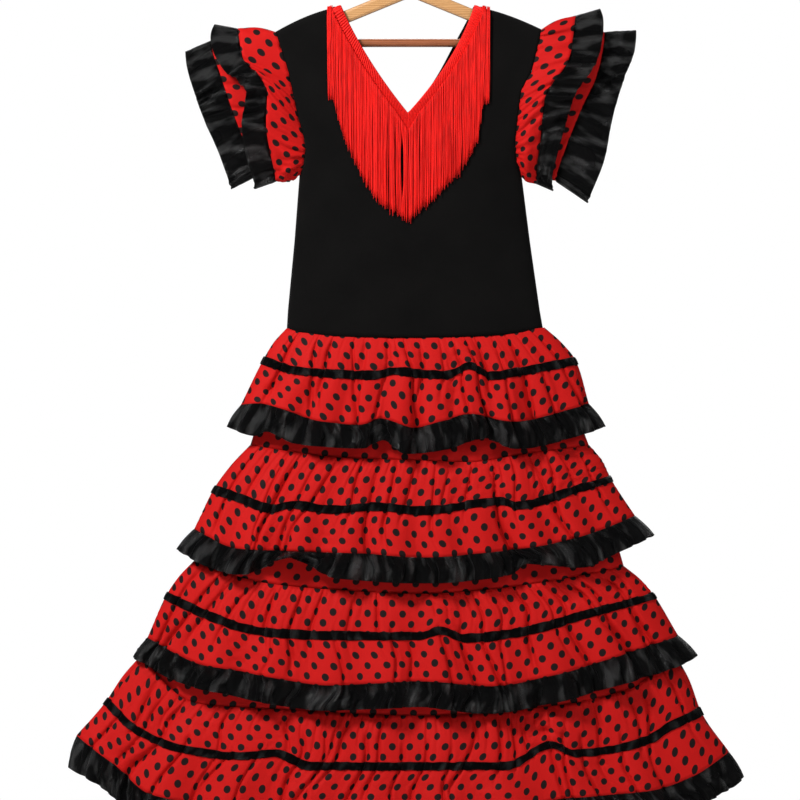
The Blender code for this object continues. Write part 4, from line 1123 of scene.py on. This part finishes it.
def make_sleeve(sd, layer):
    sign = -1 if sd == "left" else 1
    tabs = SLEEVES[sd]
    start_ring = arm_ring(sign)
    inset = 0.0 if layer == "upper" else 2.2
    if inset:
        mid = (start_ring[0, 2] + start_ring[-1, 2]) / 2
        start_ring[:, 1] = np.minimum(start_ring[:, 1] + inset, 0)
        start_ring[:, 2] += np.where(start_ring[:, 2] > mid, -inset, inset) * np.array([1, 1, 0.5, 0, 0, 0.5, 1])
    start_ring[:, 0] += sign * 0.6
    mid_ring, out_ring = ring_from(tabs[layer]), ring_from(tabs[layer + "_ruffle"])
    length = np.linalg.norm(np.diff(np.concatenate([mid_ring, mid_ring[1:-1][::-1] * [1, -1, 1], mid_ring[:1]]), axis=0), axis=1)
    ratio = 1.12
    total = length.sum() * ratio
    per = np.maximum((length * ratio / H).round().astype(int), 3)
    if per.sum() % 2:
        per[3] += 1
    count = int(per.sum())
    h = total / count
    a, b = arm_curve(sign, per, inset), ring_spline(mid_ring, per)
    c = ring_spline(out_ring, per)
    wide = np.linalg.norm(b - a, axis=1).mean()
    rows = max(int(wide / (3.6)), 5)
    v = np.linspace(0, 1, rows + 1)
    T = a[None] * (1 - v)[:, None, None] + b[None] * v[:, None, None]
    centre = T.mean(axis=1, keepdims=True)
    Nn = surface_normals(T, True)
    away = T - centre
    if (Nn * away).sum() < 0:
        Nn = -Nn
    puff = np.sin(v * math.pi) * (4.0 if layer == "upper" else 0.6)
    T = T + Nn * puff[:, None, None]
    u = np.arange(count) * h
    seed = {"left": 300, "right": 340}[sd] + (0 if layer == "upper" else 20)
    per_noise = lambda w, sdd: np.interp(u, np.linspace(0, total, 400), 0.5 * (
        noise1(np.linspace(0, total, 400), w, sdd, 2) + noise1(np.linspace(0, total, 400)[::-1], w, sdd, 2)))
    ends = np.minimum(np.minimum(u, total - u) / 12.0, 1)
    st = (0.9 * np.exp(-v / 0.12)[:, None] * np.sin(2 * math.pi * u / total * round(total / 10.0))[None]
          + ends[None] * (trough_set(v, u, seed, (16, 40), (3.0, 6.5), (3.5, 6.5), (0.5, 1.2), 7, 0.35)
                          + trough_set(v, u, seed + 1, (9, 20), (1.2, 3.0), (2.2, 4.0), (0.1, 0.5), 3) + 1.8))
    low_at, wrap = per[:6].sum() * h, total
    calm = np.clip((np.minimum(np.abs(u - low_at), np.abs(u - low_at + wrap)) - 4) / 26, 0.06, 1)
    calm = calm * np.clip((np.minimum(u, total - u) - 1) / 10, 0.15, 1)
    ci = np.interp(v, [0, 0.3, 1], [0.2, 1.6, 3.0] if layer == "upper" else [0.2, 1.0, 2.5])[:, None] * calm
    co = np.interp(v, [0, 0.3, 1], [1.2, 4.0, 5.0] if layer == "upper" else [0.6, 0.9, 1.0])[:, None] * calm
    st = st * calm
    P = relax(T, Nn, h, [(0, slice(None))], ci, co, st, ITERS, bend=np.clip(v / 0.35, 0.06, 1), closed=True,
              hold=(0.12, 0.12))
    uv = np.stack(np.meshgrid(u * MM, -v * wide * MM), axis=-1)
    name = f"cloth_sleeve_{sd}_{layer}"
    ob = sheet_mesh(name, P, uv, 0.7, "dotted_crepe", Nn, closed=True)
    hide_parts(f"sleeve_{sd}_{layer}")
    declare(P, width=total, length=wide * 1.1, closed=True)
    # ruffle
    ratio2 = 1.13
    total2 = total * ratio2
    count2 = int(total2 / (H * 0.95)) // 2 * 2
    h2 = total2 / count2
    at = np.linspace(0, count, count2, endpoint=False)
    i0 = np.floor(at).astype(int) % count
    fr = (at - np.floor(at))[:, None]
    pick = lambda A: A[i0] * (1 - fr) + A[(i0 + 1) % count] * fr
    top, plain, outr = pick(P[-1]), pick(T[-1]), pick(c)
    hem = outr + (top - plain) * 0.7
    reach = np.linalg.norm(hem - top, axis=1).mean()
    rows2 = max(int(reach / (3.2)), 4)
    v2 = np.linspace(0, 1, rows2 + 1)
    T2 = top[None] * (1 - v2)[:, None, None] + hem[None] * v2[:, None, None]
    G = plain[None] * (1 - v2)[:, None, None] + outr[None] * v2[:, None, None]
    N2 = surface_normals(G, True)
    if (N2 * (G - G.mean(axis=1, keepdims=True))).sum() < 0:
        N2 = -N2
    u2 = np.arange(count2) * h2
    per2 = lambda w, sdd: np.interp(u2, np.linspace(0, total2, 500), 0.5 * (
        noise1(np.linspace(0, total2, 500), w, sdd, 2) + noise1(np.linspace(0, total2, 500)[::-1], w, sdd, 2)))
    ends = np.minimum(np.minimum(u2, total2 - u2) / 12.0, 1)
    st2 = ends[None] * (trough_set(v2, u2, seed + 5, (22, 50), (5.5, 10.0), (5.0, 10.0), (0.7, 1.2), 6)
                        + trough_set(1 - v2, u2, seed + 6, (16, 40), (2.0, 5.0), (4.0, 8.0), (0.3, 0.9), 5)
                        + 6.0 * per2(34, seed + 7)[None] * v2[:, None] + 2.5 * v2[:, None])
    amp = (4.0, 9.0) if layer == "upper" else (5.0, 6.5)
    calm2 = np.interp(u2 / total2, u / total, calm)
    calm2 = np.maximum(calm2, 0.2) if layer == "lower" else calm2 ** 1.5
    ci = np.interp(v2, [0, 0.3, 1], [0.2, 2.0, amp[0]])[:, None] * calm2
    co = np.interp(v2, [0, 0.3, 1], [0.8, 4.0, amp[1]])[:, None] * calm2
    st2 = st2 * calm2
    P2 = relax(T2, N2, h2, [(0, slice(None))], ci, co, st2, ITERS, bend=np.clip(v2 / 0.4, 0.08, 0.8), closed=True,
               hold=(0.08, 0.10))
    uv = np.stack(np.meshgrid(u2 * MM, -v2 * reach * MM), axis=-1)
    name2 = f"cloth_sleeve_{sd}_{layer}_ruffle"
    ob = sheet_mesh(name2, P2, uv, 0.6, "black_satin", N2, closed=True)
    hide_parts(f"sleeve_{sd}_{layer}_ruffle")
    declare(P2, width=total2, length=reach * 1.05, closed=True)


# ---------------------------------------------------------------- neck trim
def neck_frame(side):
    neck = np.array(NECK_L if side < 0 else NECK_R, float)
    apex = np.array(APEX, float)
    t = (apex - neck) / np.linalg.norm(apex - neck)
    out = np.array([t[1], -t[0]]) if side < 0 else np.array([-t[1], t[0]])
    return neck, apex, t, out


def make_braid():
    n_len = 360
    n_wide = 13
    rows = []
    for w in np.linspace(0, 1, n_wide):
        width = BRAID_W * w
        pts = []
        for side in (-1, 1):
            neck, apex, t, out = neck_frame(side)
            low = np.array([APEX[0], APEX[1] - width / abs(neck_frame(-1)[3][1])])
            start = neck + out * width
            # run back up to the shoulder line
            gap = float(shoulder_line(start[0]) - start[1])
            start = start - t * (gap / (-t[1] + 0.39 * abs(t[0])) * 0.9) if gap > 0.3 else start
            run = start[None] + (low - start)[None] * np.linspace(0, 1, n_len)[:, None]
            pts.append(run)
        line = np.concatenate([pts[0], pts[1][-2::-1]])
        rows.append(line)
    L = np.array(rows)
    C = L.shape[1]
    half = C // 2
    dist = np.abs(np.arange(C) - half) / half
    run = dist * 152.0
    W = np.linspace(-1, 1, n_wide)[:, None]
    crown = np.sqrt(np.maximum(1 - W ** 2, 0.0))
    # two plaited rows of slanting cords with a groove between
    slant = run[None] + W * 1.3
    cord = np.abs(np.sin(math.pi * slant / 3.1)) ** 0.8
    height = 0.8 + np.maximum(crown, 0) ** 0.6 * (0.3 + 2.1 * cord) - 0.35 * np.exp(-((np.abs(W) - 0.62) / 0.10) ** 2)
    P = surface_out(L[..., 0], L[..., 1], height)
    back = surface_out(L[..., 0], L[..., 1], np.full(L.shape[:2], 0.75))
    # closed body: front surface and flat back
    verts = np.concatenate([P.reshape(-1, 3), back.reshape(-1, 3)]) * MM
    R = n_wide
    K = R * C
    idx = np.arange(K).reshape(R, C)
    q = np.stack([idx[:-1, :-1], idx[:-1, 1:], idx[1:, 1:], idx[1:, :-1]], axis=-1).reshape(-1, 4)
    faces = [q, q[:, ::-1] + K]
    for e0, e1 in ((idx[0, 1:], idx[0, :-1]), (idx[-1, :-1], idx[-1, 1:]), (idx[:-1, 0], idx[1:, 0]), (idx[1:, -1], idx[:-1, -1])):
        faces.append(np.stack([e0, e1, e1 + K, e0 + K], axis=-1))
    faces = np.concatenate(faces)
    me = bpy.data.meshes.new("trim_neck_braid")
    me.from_pydata(verts.tolist(), [], faces.tolist())
    import bmesh
    bm = bmesh.new()
    bm.from_mesh(me)
    bmesh.ops.recalc_face_normals(bm, faces=bm.faces)
    bm.to_mesh(me)
    bm.free()
    me.polygons.foreach_set("use_smooth", np.ones(len(me.polygons), bool))
    ob = bpy.data.objects.new("trim_neck_braid", me)
    bpy.context.scene.collection.objects.link(ob)
    me.materials.append(MATS["braid_yarn"])
    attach(ob, "root")
    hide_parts("neck_braid")
    return ob


def make_fringe(side):
    """Strands that hang from the braid's outer edge, in three uneven layers."""
    rng = np.random.default_rng(11 if side < 0 else 12)
    neck, apex, t, out = neck_frame(side)
    top_out = neck + out * (BRAID_W - 1.2)
    low_out = np.array([APEX[0], APEX[1] - (BRAID_W - 1.2) / abs(neck_frame(-1)[3][1])])
    x_far = -101.0 if side < 0 else 95.5
    verts, faces = [], []
    sides = 5
    seg = 16
    layers = ((1.25, 1.2), (1.3, 2.5), (1.35, 3.6))
    for li, (pitch, lift) in enumerate(layers):
        pitch = pitch
        x_end = APEX[0] - 0.6 if side < 0 else APEX[0] + 0.8
        n = int(abs(x_end - x_far) / pitch)
        for j in range(n):
            x0 = x_far + (x_end - x_far) * (j + 0.5 + rng.uniform(-0.3, 0.3)) / n
            xu = x0
            for _ in range(6):
                share = (xu - top_out[0]) / (low_out[0] - top_out[0])
                z0 = top_out[1] + (low_out[1] - top_out[1]) * share if share > 0 else shoulder_line(xu) - 1.0
                z0 = min(float(z0), float(shoulder_line(xu)) - 0.8)
                xu = x0 - float(bow(xu, z0))
            drop = float(along(FRINGE["left" if side < 0 else "right"], share)) * (1 + rng.normal(0, 0.016))
            if rng.random() < 0.05:
                drop *= 1.035
            # a slit opens below the apex, and a few thin ones beside it
            part = 0.0
            gap_at = ((-10.8, 1.9), (-18.7, 0.9), (-28.0, 0.9), (-37.0, 0.6), (2.7, 0.9), (10.5, 0.7), (24.0, 0.5))
            u = np.linspace(0, 1, seg)
            zz = z0 - drop * u
            bend = rng.normal(0, 0.7) * u ** 1.5 + rng.normal(0, 0.25) * np.sin(u * rng.uniform(4, 9) + rng.uniform(0, 6))
            shift = np.zeros(seg)
            for gx, gw in gap_at:
                dxx = x0 - gx
                open_z = np.clip((z0 - 8 - zz) / 26.0, 0, 1)
                close = np.clip((zz - (APEX[1] - 108)) / 22.0, 0, 1) if gx == -10.8 else 1.0
                push = gw * np.exp(-abs(dxx) / (gw * 2.2)) * (1 if dxx > 0 else -1)
                shift += push * open_z * close
            # strands lean in together towards the point
            lean = -0.02 * (x0 - APEX[0]) * u ** 2
            xx = x0 + bend + shift + lean
            off = lift + rng.uniform(-0.3, 0.3) + 0.9 * np.clip(1 - u * 6, 0, 1) * (1 if li else 0.3)
            c = surface_out(before_bow(xx, zz), zz, off + 0.6)
            rad = 0.62 * (1 + rng.uniform(-0.12, 0.12)) * np.where(u > 0.985, 0.55, 1.0)
            tw = rng.uniform(0, 6.28)
            base = len(verts)
            for i in range(seg):
                for a in range(sides):
                    ang = 2 * math.pi * a / sides + tw + u[i] * 5
                    verts.append((c[i, 0] + rad[i] * math.cos(ang), c[i, 1] + rad[i] * math.sin(ang), c[i, 2]))
            for i in range(seg - 1):
                for a in range(sides):
                    a2 = (a + 1) % sides
                    faces.append((base + i * sides + a, base + (i + 1) * sides + a,
                                  base + (i + 1) * sides + a2, base + i * sides + a2))
            faces.append(tuple(base + a for a in range(sides)))
            faces.append(tuple(base + (seg - 1) * sides + a for a in range(sides))[::-1])
    name = "trim_fringe_left" if side < 0 else "trim_fringe_right"
    me = bpy.data.meshes.new(name)
    me.from_pydata((np.array(verts) * MM).tolist(), [], faces)
    me.polygons.foreach_set("use_smooth", np.ones(len(me.polygons), bool))
    ob = bpy.data.objects.new(name, me)
    bpy.context.scene.collection.objects.link(ob)
    me.materials.append(MATS["fringe_yarn"])
    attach(ob, "root")
    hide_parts("fringe_left" if side < 0 else "fringe_right")
    return ob


for face in ("front", "back"):
    make_bodice(face)
    for k in (1, 2, 3):
        make_base(k, face)
    for k in (1, 2, 3, 4):
        make_tier(k, face)
        make_hem(k, face)
for sd in ("left", "right"):
    for layer in ("upper", "lower"):
        make_sleeve(sd, layer)
make_braid()
make_fringe(-1)
make_fringe(1)

for node, mat in (("hanger_arms", "beech"), ("hanger_bar", "dowel"), ("hanger_hook", "wire")):
    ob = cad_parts[node]
    for slot in ob.material_slots:
        slot.material = MATS[mat]

# ---------------------------------------------------------------- stage
bpy.ops.mesh.primitive_circle_add(vertices=96, radius=2.2, fill_type="NGON", location=(0, 0, -1.32))
floor = bpy.context.object
floor.name = "floor"
floor.data.materials.append(MATS["floor_white"])

world = bpy.data.worlds.new("studio")
bpy.context.scene.world = world
world.use_nodes = True
wt = world.node_tree
bg = wt.nodes["Background"]
bg.inputs["Color"].default_value = (1, 1, 1, 1)
bg.inputs["Strength"].default_value = 0.165
bg2 = wt.nodes.new("ShaderNodeBackground")
bg2.inputs["Color"].default_value = (1, 1, 1, 1)
bg2.inputs["Strength"].default_value = 1.0
lp = wt.nodes.new("ShaderNodeLightPath")
ms = wt.nodes.new("ShaderNodeMixShader")
wt.links.new(lp.outputs["Is Camera Ray"], ms.inputs[0])
wt.links.new(bg.outputs[0], ms.inputs[1])
wt.links.new(bg2.outputs[0], ms.inputs[2])
wt.links.new(ms.outputs[0], wt.nodes["World Output"].inputs["Surface"])


def area_light(name, place, target, size, power):
    d = bpy.data.lights.new(name, "AREA")
    d.shape = "RECTANGLE"
    d.size, d.size_y = size
    d.energy = power
    o = bpy.data.objects.new(name, d)
    o.location = place
    way = np.array(target) - np.array(place)
    from mathutils import Vector
    o.rotation_euler = Vector(way).to_track_quat("-Z", "Y").to_euler()
    bpy.context.scene.collection.objects.link(o)


area_light("key", (-1.25, -1.40, 0.92), (0, 0, -0.30), (0.5, 0.6), 60)
area_light("fill", (1.6, -2.1, 0.8), (0, 0, -0.4), (0.8, 1.0), 19)
area_light("back", (0.3, 2.4, 0.6), (0, 0, -0.6), (1.6, 1.2), 22)

cam = bpy.data.cameras.new("camera")
cam.sensor_width = 36.0
DIST = 7.5
cam.lens = 36.0 * (DIST - 0.045) / 0.96
cam.clip_end = 50
cam_ob = bpy.data.objects.new("camera", cam)
cam_ob.location = (-0.0132, -DIST, -0.594)
cam_ob.rotation_euler = (math.pi / 2, 0, 0)
bpy.context.scene.collection.objects.link(cam_ob)
bpy.context.scene.camera = cam_ob
bpy.context.scene.view_settings.view_transform = "Standard"
